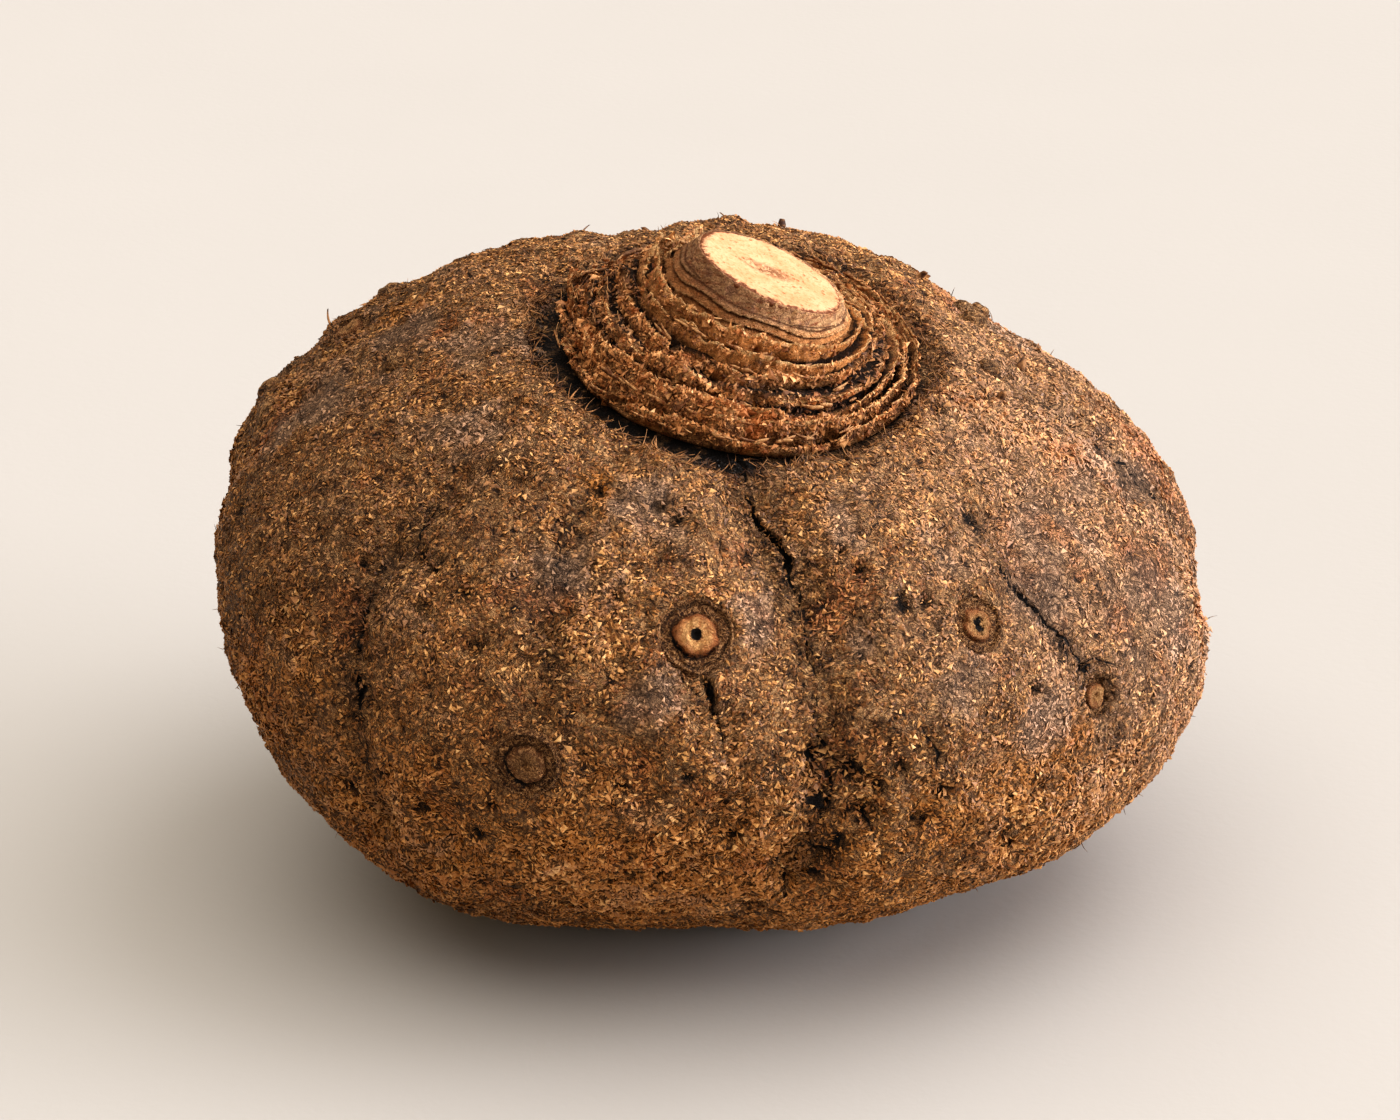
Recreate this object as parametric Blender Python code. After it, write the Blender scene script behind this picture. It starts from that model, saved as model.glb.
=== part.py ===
"""A round yam lying on its flat underside, crown up, with the cut foot of its stem.

The tuber is one grown body: a lobed, furrowed, slightly leaning bun with a saucer round
the crown, button scars, cracks, knobs and root stubs. The stem foot is a piece of its own:
a low cone of ragged rings, left by the scale leaves, that ends in the flat cut.

Metres, +Z up. The front is -Y, the right is +X. The origin is on the surface the yam lies
on, below the middle of its outer box. A direction is an azimuth from the front toward the
right and an elevation above the level plane, both in degrees, seen from the tuber's heart.
"""
import math
import random

import bmesh
import bpy
import numpy as np

# Tuber body
HEART = np.array((-0.0037, -0.0004, 0.0600))
HALF_WIDTH = 0.0989
HALF_DEPTH = 0.0900
HALF_HEIGHT = 0.0622
ROUNDNESS = 2.1
LEAN_FORWARD = 10.0
LEAN_RIGHT = 4.0

# Swellings: azimuth, elevation, rise, spread in degrees
SWELLINGS = (
    (-108.0, 17.0, 0.0034, 12.0),
    (-98.0, 4.0, -0.0028, 16.0),
    (-78.0, -18.0, -0.0048, 26.0),
    (118.0, 26.0, -0.0030, 13.0),
    (100.0, 8.0, 0.0014, 16.0),
    (85.0, -12.0, 0.0044, 24.0),
    (48.0, -36.0, -0.0055, 22.0),
    (0.0, -34.0, -0.0092, 26.0),
    (156.0, 44.0, 0.0036, 13.0),
    (-42.0, 50.0, 0.0026, 12.0),
    (-14.0, 16.0, 0.0018, 15.0),
    (32.0, 14.0, 0.0018, 13.0),
    (-66.0, 14.0, 0.0018, 14.0),
)

# Furrows: depth, width, then the directions they run through (a fold has a negative depth)
FURROWS = (
    (0.0042, 0.0075, ((8, 47), (11, 34), (15, 20), (16, 6), (16, -4), (13, -14))),
    (0.0028, 0.0060, ((-43, 34), (-46, 22), (-46, 12), (-43, 2), (-41, -10))),
    (0.0016, 0.0055, ((-22, 36), (-21, 24), (-18, 14))),
    (0.0020, 0.0050, ((47, 25), (48, 15), (52, 6), (55, -4))),
    (-0.0020, 0.0050, ((-5, 14), (-4, 8), (-1, 3))),
    (0.0026, 0.0080, ((86, 34), (85, 18), (88, 0))),
    (0.0030, 0.0085, ((150, 40), (146, 20), (150, -4))),
    (0.0028, 0.0080, ((-160, 44), (-152, 22), (-156, -6))),
    (0.0022, 0.0075, ((-104, 36), (-110, 10), (-106, -14))),
)

# Cracks: width, depth, then their directions
CRACKS = (
    (0.0018, 0.0034, ((10, 40), (12, 34), (14.5, 28.5), (15, 22))),
    (0.0012, 0.0024, ((15.5, 11), (15.5, 5), (17, -1.5), (15, -6), (14, -10))),
    (0.0014, 0.0028, ((0.5, 15), (1.6, 11.5), (2.8, 6))),
    (0.0015, 0.0030, ((47, 20), (47.5, 15.5), (50.5, 10.5), (51.5, 6), (53, 4))),
    (0.0012, 0.0022, ((85.5, 25), (84.5, 21), (86.5, 16))),
    (0.0012, 0.0022, ((-46, 17), (-45, 9), (-43, 1))),
    (0.0014, 0.0026, ((148, 24), (145, 16), (149, 8))),
    (0.0014, 0.0026, ((-152, 20), (-155, 12), (-151, 5))),
)
CRACK_STEPS = 9
CRACK_WANDER = 0.0007
CRACK_CLEAR = 0.0030

# Crown saucer and the plane of the crown
CROWN = HEART + (0.0076, -0.0088, 0.0567)
CROWN_UP = (0.10, -0.19, 0.98)
SAUCER_DEPTH = 0.0034
SAUCER_FLOOR = 0.0376
SAUCER_EDGE = 0.0420

# Grid of the tuber: rings round the crown axis, at these angles from it in degrees
TUBER_SIDES = 76
FIRST_RING = 16.0
FINE_FROM, FINE_TO, FINE_STEP = 31.0, 42.5, 1.25
COARSE_STEP = 5.0

# Button scars: azimuth, elevation, radius of the outer ring, height of the button
SCARS = (
    (0.0, 19.0, 0.0068, 0.0012),
    (-20.0, 2.5, 0.0062, 0.0007),
    (38.0, 15.5, 0.0050, 0.0006),
    (53.5, 2.0, 0.0042, 0.0010),
)
SCAR_SIDES = 14
SCAR_ROOT = 0.0040
SCAR_DISH = 0.0014
SCAR_CLEAR = 0.0020
SCAR_RIM = 0.0005
SCAR_MOAT = 0.0009
SCAR_HOLE = 0.0006
HIDDEN_RADII, HIDDEN_BUTTONS = (0.0042, 0.0062), (0.0005, 0.0011)

# Repeats placed by a seeded rule: count, elevations, least angle to their neighbours
HIDDEN_SCARS = (5, (-25.0, 35.0), 15.0)
KNOBS = (24, (12.0, 46.0), 6.5)
ROOT_STUBS = (9, (22.0, 46.0), 6.5)
REAR_FROM, REAR_TO = 75.0, 285.0
CROWN_CLEAR = 0.047
SMALL_SIDES = 7
SMALL_ROOT = 0.0020
KNOB_RADII, KNOB_HEIGHTS = (0.0016, 0.0030), (0.0009, 0.0019)
STUB_RADIUS, STUB_LENGTHS, STUB_LEAN = 0.0009, (0.0020, 0.0032), 0.7
SEED = 41

# Stem foot
STEM_SIDES = 44
RINGS = 7
RING_RADIUS_OUT, RING_RADIUS_IN = 0.0359, 0.0205
RING_TOP_OUT, RING_TOP_IN = 0.0006, 0.0106
RING_LIP = 0.0008
RING_GROOVES = (0.0030, 0.0024, 0.0014, 0.0014, 0.0013, 0.0013, 0.0010)
RING_RAGGED = 0.00045
RING_WAVES = (2, 3, 5, 8)
STUB_FOOT_RADIUS = 0.0186
CUT_RADIUS = 0.0156
CUT_EDGE = 0.0004
CUT_OFFSET = (0.0068, 0.0004, 0.0142)
CUT_UP = (0.41, -0.01, 0.91)
GAP = 0.0003

# Colours as the eye reads them, 0 to 255
SKIN_COLOUR = (138, 95, 61)
STEM_COLOUR = (148, 98, 60)


def direction(azimuth, elevation):
    """The unit vector toward an azimuth and an elevation in degrees."""
    a, e = math.radians(azimuth), math.radians(elevation)
    return np.array([math.sin(a) * math.cos(e), -math.cos(a) * math.cos(e), math.sin(e)])


def unit(vector):
    """The vector, or each row of vectors, at length one."""
    vector = np.asarray(vector, dtype=float)
    return vector / np.linalg.norm(vector, axis=-1, keepdims=True)


def leaning_axes():
    """Rows are the tuber's own axes: its own top leans forward and to the right."""
    f, r = math.radians(LEAN_FORWARD), math.radians(LEAN_RIGHT)
    about_x = np.array([[1, 0, 0], [0, math.cos(f), -math.sin(f)], [0, math.sin(f), math.cos(f)]])
    about_y = np.array([[math.cos(r), 0, math.sin(r)], [0, 1, 0], [-math.sin(r), 0, math.cos(r)]])
    return (about_y @ about_x).T


def arc_distance(rays, path):
    """How far each ray is from a path of directions, in radians."""
    corners = [direction(*corner) for corner in path]
    nearest = np.full(len(rays), 9.0)
    for start, end in zip(corners, corners[1:]):
        along = end - start
        share = np.clip((rays - start) @ along / (along @ along), 0.0, 1.0)
        foot = start + share[:, None] * along
        nearest = np.minimum(nearest, np.linalg.norm(rays - foot, axis=1))
    return nearest


def tuber_radius(rays):
    """Distance from the heart to the skin: a rounded bun, swellings, then furrows."""
    own = np.abs(rays @ leaning_axes().T) / (HALF_WIDTH, HALF_DEPTH, HALF_HEIGHT)
    radius = (own ** ROUNDNESS).sum(axis=1) ** (-1.0 / ROUNDNESS)
    for azimuth, elevation, rise, spread in SWELLINGS:
        angle = np.degrees(np.arccos(np.clip(rays @ direction(azimuth, elevation), -1.0, 1.0)))
        radius = radius + rise * np.exp(-(angle / spread) ** 2)
    base = radius.copy()
    for depth, width, path in FURROWS:
        radius = radius - depth * np.exp(-(arc_distance(rays, path) * base / width) ** 2)
    return radius


def smooth_step(low, high, value):
    """0 below low, 1 above high, with a soft start and end between."""
    share = np.clip((value - low) / (high - low), 0.0, 1.0)
    return share * share * (3.0 - 2.0 * share)


def tuber_skin(rays):
    """Points of the skin along the rays, with the saucer pressed in at the crown."""
    points = HEART + rays * tuber_radius(rays)[:, None]
    up = unit(CROWN_UP)
    offset = points - CROWN
    height = offset @ up
    reach = np.linalg.norm(offset - height[:, None] * up, axis=1)
    near_crown = (rays @ up > 0.0) * (1.0 - smooth_step(SAUCER_FLOOR, SAUCER_EDGE, reach))
    return points + (near_crown * (-SAUCER_DEPTH - height))[:, None] * up


def skin_frame(ray):
    """The skin point on one ray, with the outward normal and one tangent."""
    side = unit(np.cross(ray, (0.0, 0.0, 1.0) if abs(ray[2]) < 0.9 else (0.0, 1.0, 0.0)))
    other = np.cross(ray, side)
    small = 0.02
    rays = unit(np.array([ray, ray + small * side, ray + small * other]))
    point, near_side, near_other = tuber_skin(rays)
    normal = unit(np.cross(near_side - point, near_other - point))
    if normal @ ray < 0.0:
        normal = -normal
    tangent = unit(side - (side @ normal) * normal)
    return point, normal, tangent


def material(name, colour, roughness):
    """A plain surface of one colour, given as the eye reads it."""
    surface = bpy.data.materials.new(name)
    surface.use_nodes = True
    shader = surface.node_tree.nodes["Principled BSDF"]
    linear = [(channel / 255.0) ** 2.2 for channel in colour]
    shader.inputs["Base Color"].default_value = (*linear, 1.0)
    shader.inputs["Roughness"].default_value = roughness
    shader.inputs["Metallic"].default_value = 0.0
    return surface


def new_object(name, bm, collection=None):
    """An object in the scene, or in a collection of its own, from a finished bmesh."""
    mesh = bpy.data.meshes.new(name)
    bmesh.ops.recalc_face_normals(bm, faces=bm.faces)
    bm.to_mesh(mesh)
    bm.free()
    made = bpy.data.objects.new(name, mesh)
    (collection or bpy.context.scene.collection).objects.link(made)
    return made


def rings_to_bmesh(rings, first, last):
    """A closed skin over rings of points, with one end point below and one above."""
    bm = bmesh.new()
    loops = [[bm.verts.new(point) for point in ring] for ring in rings]
    count = len(loops[0])
    for lower, upper in zip(loops, loops[1:]):
        for i in range(count):
            j = (i + 1) % count
            bm.faces.new((lower[i], lower[j], upper[j], upper[i]))
    for loop, tip in ((loops[0], first), (loops[-1], last)):
        apex = bm.verts.new(tip)
        for i in range(count):
            bm.faces.new((loop[i], loop[(i + 1) % count], apex))
    return bm


def polar_rows():
    """Angles from the crown axis: few on the saucer's floor, close at its wall."""
    rows = [FIRST_RING]
    rows += list(np.arange(FINE_FROM, FINE_TO, FINE_STEP))
    coarse = max(2, round((180.0 - FINE_TO) / COARSE_STEP))
    rows += list(np.linspace(FINE_TO, 180.0, coarse, endpoint=False))
    return np.radians(rows)


def crown_grid_rays(polar, turns):
    """Unit rays at angles from the crown's direction and turns round it."""
    axis = unit(CROWN - HEART)
    right = unit(np.cross((0.0, 1.0, 0.0), axis))
    back = np.cross(axis, right)
    swing = np.cos(turns)[:, None] * right + np.sin(turns)[:, None] * back
    return np.cos(polar) * axis + np.sin(polar) * swing


def tuber_body():
    """The bare tuber: the formula's skin, cut level where it lies."""
    turns = np.linspace(0.0, 2.0 * math.pi, TUBER_SIDES, endpoint=False)
    rings = [tuber_skin(crown_grid_rays(polar, turns)) for polar in polar_rows()]
    axis = unit(CROWN - HEART)
    top, bottom = tuber_skin(np.array([axis, -axis]))
    bm = rings_to_bmesh(rings, top, bottom)
    everything = list(bm.verts) + list(bm.edges) + list(bm.faces)
    bmesh.ops.bisect_plane(bm, geom=everything, plane_co=(0, 0, 0), plane_no=(0, 0, 1), clear_inner=True)
    edge = [e for e in bm.edges if e.is_boundary]
    bmesh.ops.edgeloop_fill(bm, edges=edge)
    return new_object("tuber", bm)


def turned_rings(frame, profile, sides):
    """Rings of points turned round a skin frame's normal, from (radius, height) pairs."""
    point, normal, tangent = frame
    other = np.cross(normal, tangent)
    turns = np.linspace(0.0, 2.0 * math.pi, sides, endpoint=False)
    circle = np.cos(turns)[:, None] * tangent + np.sin(turns)[:, None] * other
    return [point + radius * circle + height * normal for radius, height in profile]


def add_scar(frame, radius, button, cuts, joins):
    """A dish cut in the skin, filled by a ringed button with a small central hole."""
    point, normal = frame[0], frame[1]
    dish = turned_rings(frame, ((radius, -SCAR_DISH), (1.12 * radius, SCAR_CLEAR)), SCAR_SIDES)
    dish_ends = (point - SCAR_DISH * normal, point + SCAR_CLEAR * normal)
    new_object("dish", rings_to_bmesh(dish, *dish_ends), cuts)
    outer = ((1.04 * radius, -SCAR_ROOT), (1.04 * radius, 0.2 * SCAR_RIM), (0.95 * radius, SCAR_RIM))
    moat = ((0.84 * radius, 0.4 * SCAR_RIM), (0.76 * radius, -SCAR_MOAT), (0.64 * radius, -SCAR_MOAT))
    cap = ((0.58 * radius, 0.8 * button), (0.40 * radius, button), (0.15 * radius, 0.7 * button))
    rings = turned_rings(frame, outer + moat + cap + ((0.11 * radius, -SCAR_HOLE),), SCAR_SIDES)
    ends = (point - SCAR_ROOT * normal, point - SCAR_HOLE * normal)
    new_object("scar", rings_to_bmesh(rings, *ends), joins)


def add_crack(width, depth, path, draw, cuts):
    """A wandering notch, a V in section, that thins out at both ends."""
    corners = np.array([direction(*corner) for corner in path])
    places = np.linspace(0.0, len(corners) - 1.0, CRACK_STEPS)
    rays = unit(np.stack([np.interp(places, range(len(corners)), corners[:, k]) for k in range(3)], 1))
    frames = [skin_frame(ray) for ray in rays]
    rings = []
    for i, (point, normal, _) in enumerate(frames):
        ahead = frames[min(i + 1, CRACK_STEPS - 1)][0] - frames[max(i - 1, 0)][0]
        side = unit(np.cross(normal, ahead))
        share = i / (CRACK_STEPS - 1)
        strength = 0.25 + 0.75 * math.sin(math.pi * share) ** 0.7
        centre = point + draw.uniform(-CRACK_WANDER, CRACK_WANDER) * side
        deep = depth * strength
        half = 0.5 * width * strength * (deep + CRACK_CLEAR) / deep
        high = centre + CRACK_CLEAR * normal
        rings.append([centre - deep * normal, high + half * side, high - half * side])
    new_object("crack", rings_to_bmesh(rings, np.mean(rings[0], 0), np.mean(rings[-1], 0)), cuts)


def add_knob(frame, radius, height, joins):
    """A low round knob whose root is well inside the skin."""
    point, normal = frame[0], frame[1]
    profile = ((0.9 * radius, -SMALL_ROOT), (radius, 0.0), (0.85 * radius, 0.45 * height),
               (0.5 * radius, 0.85 * height))
    rings = turned_rings(frame, profile, SMALL_SIDES)
    ends = (point - SMALL_ROOT * normal, point + height * normal)
    new_object("knob", rings_to_bmesh(rings, *ends), joins)


def add_root_stub(frame, length, slant, joins):
    """A short dry root: a thin cone that leans off the skin's normal."""
    point, normal, tangent = frame
    lean = unit(normal + slant * tangent)
    foot = turned_rings(frame, ((STUB_RADIUS, -SMALL_ROOT), (0.9 * STUB_RADIUS, 0.0002)), SMALL_SIDES)
    high = (point + 0.75 * length * lean, normal, tangent)
    rings = foot + turned_rings(high, ((0.45 * STUB_RADIUS, 0.0),), SMALL_SIDES)
    ends = (point - SMALL_ROOT * normal, point + length * lean)
    new_object("root", rings_to_bmesh(rings, *ends), joins)


def scatter(count, elevations, spacing, taken, draw):
    """Seeded rays on the rear, clear of the crown, the cracks and one another."""
    placed = []
    while len(placed) < count:
        ray = direction(draw.uniform(REAR_FROM, REAR_TO), draw.uniform(*elevations))
        point = tuber_skin(ray[None, :])[0]
        nearest = max(float(ray @ other) for other in taken)
        if nearest < math.cos(math.radians(spacing)) and np.linalg.norm(point - CROWN) > CROWN_CLEAR:
            placed.append(ray)
            taken.append(ray)
    return placed


def add_details(cuts, joins):
    """All repeats that are cut into the tuber or grow out of it."""
    draw = random.Random(SEED)
    taken = [direction(*corner) for _, _, path in CRACKS for corner in path]
    for azimuth, elevation, radius, button in SCARS:
        taken.append(direction(azimuth, elevation))
        add_scar(skin_frame(taken[-1]), radius, button, cuts, joins)
    for width, depth, path in CRACKS:
        add_crack(width, depth, path, draw, cuts)
    for ray in scatter(*HIDDEN_SCARS, taken, draw):
        add_scar(skin_frame(ray), draw.uniform(*HIDDEN_RADII), draw.uniform(*HIDDEN_BUTTONS), cuts, joins)
    for ray in scatter(*KNOBS, taken, draw):
        add_knob(skin_frame(ray), draw.uniform(*KNOB_RADII), draw.uniform(*KNOB_HEIGHTS), joins)
    for ray in scatter(*ROOT_STUBS, taken, draw):
        slant = draw.uniform(-STUB_LEAN, STUB_LEAN)
        add_root_stub(skin_frame(ray), draw.uniform(*STUB_LENGTHS), slant, joins)


def apply_boolean(body, collection, operation):
    """One Boolean with a whole collection, made permanent, its tools then removed."""
    step = body.modifiers.new(operation.lower(), "BOOLEAN")
    step.operation = operation
    step.operand_type = "COLLECTION"
    step.collection = collection
    step.solver = "EXACT"
    step.use_self = True
    bpy.context.view_layer.update()
    evaluated = body.evaluated_get(bpy.context.evaluated_depsgraph_get())
    finished = bpy.data.meshes.new_from_object(evaluated)
    body.modifiers.clear()
    body.data = finished
    for tool in list(collection.objects):
        bpy.data.objects.remove(tool)
    bpy.data.collections.remove(collection)


def tool_collection(name):
    """A collection for shapes that only cut or join."""
    made = bpy.data.collections.new(name)
    bpy.context.scene.collection.children.link(made)
    return made


def shade_round(body, angle):
    """Smooth shading with crisp lines where the surface turns sharply."""
    body.data.shade_smooth()
    body.data.set_sharp_from_angle(angle=math.radians(angle))


def build_tuber():
    """The tuber with its cracks and dishes cut and its scars, knobs and roots joined."""
    body = tuber_body()
    cuts, joins = tool_collection("cuts"), tool_collection("joins")
    add_details(cuts, joins)
    apply_boolean(body, cuts, "DIFFERENCE")
    apply_boolean(body, joins, "UNION")
    body.data.materials.clear()
    body.data.materials.append(material("yam_skin", SKIN_COLOUR, 0.85))
    shade_round(body, 50.0)
    return body


def stem_profile():
    """Rows of (radius, height, raggedness) from the foot of the cone up to the cut."""
    length = math.dist((0, 0, 0), CUT_OFFSET)
    rows = [(RING_RADIUS_OUT, GAP - SAUCER_DEPTH, 0.0)]
    radii = [RING_RADIUS_OUT + (RING_RADIUS_IN - RING_RADIUS_OUT) * k / (RINGS - 1) for k in range(RINGS)]
    radii.append(STUB_FOOT_RADIUS)
    for k in range(RINGS):
        top = RING_TOP_OUT + (RING_TOP_IN - RING_TOP_OUT) * k / (RINGS - 1)
        rows.append((radii[k], top - RING_LIP, 0.6))
        rows.append((radii[k] - 0.4 * RING_LIP, top, 1.0))
        rows.append((radii[k] - 1.3 * RING_LIP, top - 0.25 * RING_LIP, 1.0))
        rows.append((radii[k + 1] + GAP, top - RING_GROOVES[k], 0.3))
    rows.append((STUB_FOOT_RADIUS - RING_LIP, RING_TOP_IN + RING_LIP, 0.3))
    rows.append((0.5 * (STUB_FOOT_RADIUS + CUT_RADIUS) - CUT_EDGE, 0.5 * (RING_TOP_IN + length), 0.3))
    rows.append((CUT_RADIUS, length - CUT_EDGE, 0.2))
    rows.append((CUT_RADIUS - CUT_EDGE, length, 0.1))
    rows.append((0.5 * CUT_RADIUS, length + 0.5 * CUT_EDGE, 0.0))
    return rows


def stem_ring(radius, height, ragged, waves):
    """One ring of the stem foot, on the axis that bends from the crown to the cut."""
    length = math.dist((0, 0, 0), CUT_OFFSET)
    share = max(0.0, min(1.0, height / length))
    up = unit((1.0 - share) * unit(CROWN_UP) + share * unit(CUT_UP))
    centre = CROWN + share * np.array(CUT_OFFSET) + (height - share * length) * up
    right = unit(np.array((1.0, 0.0, 0.0)) - up[0] * up)
    back = np.cross(up, right)
    turns = np.linspace(0.0, 2.0 * math.pi, STEM_SIDES, endpoint=False)
    sway = sum(size * np.sin(count * turns + phase) for count, size, phase in waves)
    reach = radius + RING_RAGGED * ragged * sway
    lift = 0.7 * RING_RAGGED * ragged * np.roll(sway, 3)
    return (centre + (reach * np.cos(turns))[:, None] * right
            + (reach * np.sin(turns))[:, None] * back + lift[:, None] * up)


def build_stem_foot():
    """The ringed cone and the cut stem, standing clear of the saucer's floor."""
    draw = random.Random(SEED + 1)
    rings = []
    waves = []
    profile = stem_profile()
    for i, (radius, height, ragged) in enumerate(profile):
        if i % 4 == 1 or not waves:
            waves = [(count, draw.uniform(0.2, 0.8), draw.uniform(0.0, 2.0 * math.pi)) for count in RING_WAVES]
        rings.append(stem_ring(radius, height, ragged, waves))
    low = CROWN + (GAP - SAUCER_DEPTH) * unit(CROWN_UP)
    high = CROWN + np.array(CUT_OFFSET) - CUT_EDGE * unit(CUT_UP)
    body = new_object("stem_foot", rings_to_bmesh(rings, low, high))
    body.data.materials.append(material("stem_bark", STEM_COLOUR, 0.8))
    shade_round(body, 40.0)
    return body


def clear_scene():
    """Empty the scene, so that the script starts from nothing."""
    for old in list(bpy.data.objects):
        bpy.data.objects.remove(old)


clear_scene()
build_tuber()
build_stem_foot()
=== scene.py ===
# %% [markdown]
# # A round yam with the cut foot of its stem
#
# The yam lies on a pale table, crown up. This file dresses its two solids. It shows how a
# rough natural skin can be worked out as arrays of numbers: one smooth body, then relief on
# it, then many thousands of dry flakes that stand on the relief and catch the light.

# %% Load the frame
import math
import random

import bpy
import numpy as np
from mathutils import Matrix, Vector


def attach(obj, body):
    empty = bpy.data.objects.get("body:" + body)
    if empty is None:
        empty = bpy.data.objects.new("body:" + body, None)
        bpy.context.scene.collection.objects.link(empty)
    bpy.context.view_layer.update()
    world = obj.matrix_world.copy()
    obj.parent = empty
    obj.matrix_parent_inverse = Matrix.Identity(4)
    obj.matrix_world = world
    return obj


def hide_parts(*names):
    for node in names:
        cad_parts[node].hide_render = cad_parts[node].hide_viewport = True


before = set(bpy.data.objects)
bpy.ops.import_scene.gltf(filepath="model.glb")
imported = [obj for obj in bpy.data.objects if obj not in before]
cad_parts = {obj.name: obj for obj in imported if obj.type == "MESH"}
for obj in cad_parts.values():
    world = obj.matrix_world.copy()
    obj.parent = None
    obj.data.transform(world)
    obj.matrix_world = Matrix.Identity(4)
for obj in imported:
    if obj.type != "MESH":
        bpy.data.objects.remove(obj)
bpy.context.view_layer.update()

# %% [markdown]
# ## The tuber's body
#
# A yam of this kind grows as a low bun round its crown. It could be sculpted by hand, but a
# formula can be sampled at any fineness: the distance from the heart to the skin, for each
# direction. It starts from a rounded bun, adds soft swellings and takes away furrows. These
# are the same values that shaped the solid, so the fine skin lies where the solid lies.

# %% The values of the body
HEART = np.array((-0.0037, -0.0004, 0.0600))
HALF_WIDTH = 0.0989
HALF_DEPTH = 0.0900
HALF_HEIGHT = 0.0622
ROUNDNESS = 2.1
LEAN_FORWARD = 10.0
LEAN_RIGHT = 4.0

# Azimuth, elevation, rise in metres, spread in degrees
SWELLINGS = (
    (-108.0, 17.0, 0.0034, 12.0),
    (-98.0, 4.0, -0.0028, 16.0),
    (-78.0, -18.0, -0.0048, 26.0),
    (118.0, 26.0, -0.0030, 13.0),
    (100.0, 8.0, 0.0014, 16.0),
    (85.0, -12.0, 0.0044, 24.0),
    (48.0, -36.0, -0.0055, 22.0),
    (0.0, -34.0, -0.0092, 26.0),
    (156.0, 44.0, 0.0036, 13.0),
    (-42.0, 50.0, 0.0026, 12.0),
    (-14.0, 16.0, 0.0018, 15.0),
    (32.0, 14.0, 0.0018, 13.0),
    (-66.0, 14.0, 0.0018, 14.0),
)

# Depth, width, then the directions the furrow runs through
FURROWS = (
    (0.0042, 0.0075, ((8, 47), (11, 34), (15, 20), (16, 6), (16, -4), (13, -14))),
    (0.0028, 0.0060, ((-43, 34), (-46, 22), (-46, 12), (-43, 2), (-41, -10))),
    (0.0016, 0.0055, ((-22, 36), (-21, 24), (-18, 14))),
    (0.0020, 0.0050, ((47, 25), (48, 15), (52, 6), (55, -4))),
    (-0.0020, 0.0050, ((-5, 14), (-4, 8), (-1, 3))),
    (0.0026, 0.0080, ((86, 34), (85, 18), (88, 0))),
    (0.0030, 0.0085, ((150, 40), (146, 20), (150, -4))),
    (0.0028, 0.0080, ((-160, 44), (-152, 22), (-156, -6))),
    (0.0022, 0.0075, ((-104, 36), (-110, 10), (-106, -14))),
)

# Width, depth, then the directions the crack runs through
CRACKS = (
    (0.0018, 0.0034, ((10, 40), (12, 34), (14.5, 28.5), (15, 22))),
    (0.0012, 0.0024, ((15.5, 11), (15.5, 5), (17, -1.5), (15, -6), (14, -10))),
    (0.0014, 0.0028, ((0.5, 15), (1.6, 11.5), (2.8, 6))),
    (0.0015, 0.0030, ((47, 20), (47.5, 15.5), (50.5, 10.5), (51.5, 6), (53, 4))),
    (0.0012, 0.0022, ((85.5, 25), (84.5, 21), (86.5, 16))),
    (0.0012, 0.0022, ((-46, 17), (-45, 9), (-43, 1))),
    (0.0014, 0.0026, ((148, 24), (145, 16), (149, 8))),
    (0.0014, 0.0026, ((-152, 20), (-155, 12), (-151, 5))),
)

CROWN = HEART + (0.0076, -0.0088, 0.0567)
CROWN_UP = (0.10, -0.19, 0.98)
SAUCER_DEPTH = 0.0034
SAUCER_FLOOR = 0.0376
SAUCER_EDGE = 0.0420


# %% Functions of the body
def direction(azimuth, elevation):
    """The unit vector toward an azimuth and an elevation in degrees."""
    a, e = math.radians(azimuth), math.radians(elevation)
    return np.array([math.sin(a) * math.cos(e), -math.cos(a) * math.cos(e), math.sin(e)])


def unit(vectors):
    """Vectors divided by their own length."""
    vectors = np.asarray(vectors, dtype=float)
    return vectors / np.linalg.norm(vectors, axis=-1, keepdims=True)


def leaning_axes():
    """Rows are the tuber's own axes: a turn forward about X, then one to the right about Y."""
    f, r = math.radians(LEAN_FORWARD), math.radians(LEAN_RIGHT)
    about_x = np.array([[1, 0, 0], [0, math.cos(f), -math.sin(f)], [0, math.sin(f), math.cos(f)]])
    about_y = np.array([[math.cos(r), 0, math.sin(r)], [0, 1, 0], [-math.sin(r), 0, math.cos(r)]])
    return (about_y @ about_x).T


def path_distance(rays, path):
    """How far each ray is from a path of directions, in radians, on which side of it (-1 or
    1), and how far along it from 0 to 1: the nearest foot on each straight stretch."""
    corners = [direction(*corner) for corner in path]
    nearest, side_of, along_of = np.full(len(rays), 9.0), np.zeros(len(rays)), np.zeros(len(rays))
    for i, (start, end) in enumerate(zip(corners, corners[1:])):
        stretch = end - start
        share = np.clip((rays - start) @ stretch / (stretch @ stretch), 0.0, 1.0)
        away = rays - (start + share[:, None] * stretch)
        far = np.linalg.norm(away, axis=1)
        closer = far < nearest
        nearest = np.where(closer, far, nearest)
        side_of = np.where(closer, np.sign(away @ np.cross(start + end, stretch)), side_of)
        along_of = np.where(closer, (i + share) / (len(corners) - 1), along_of)
    return nearest, side_of, along_of


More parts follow.
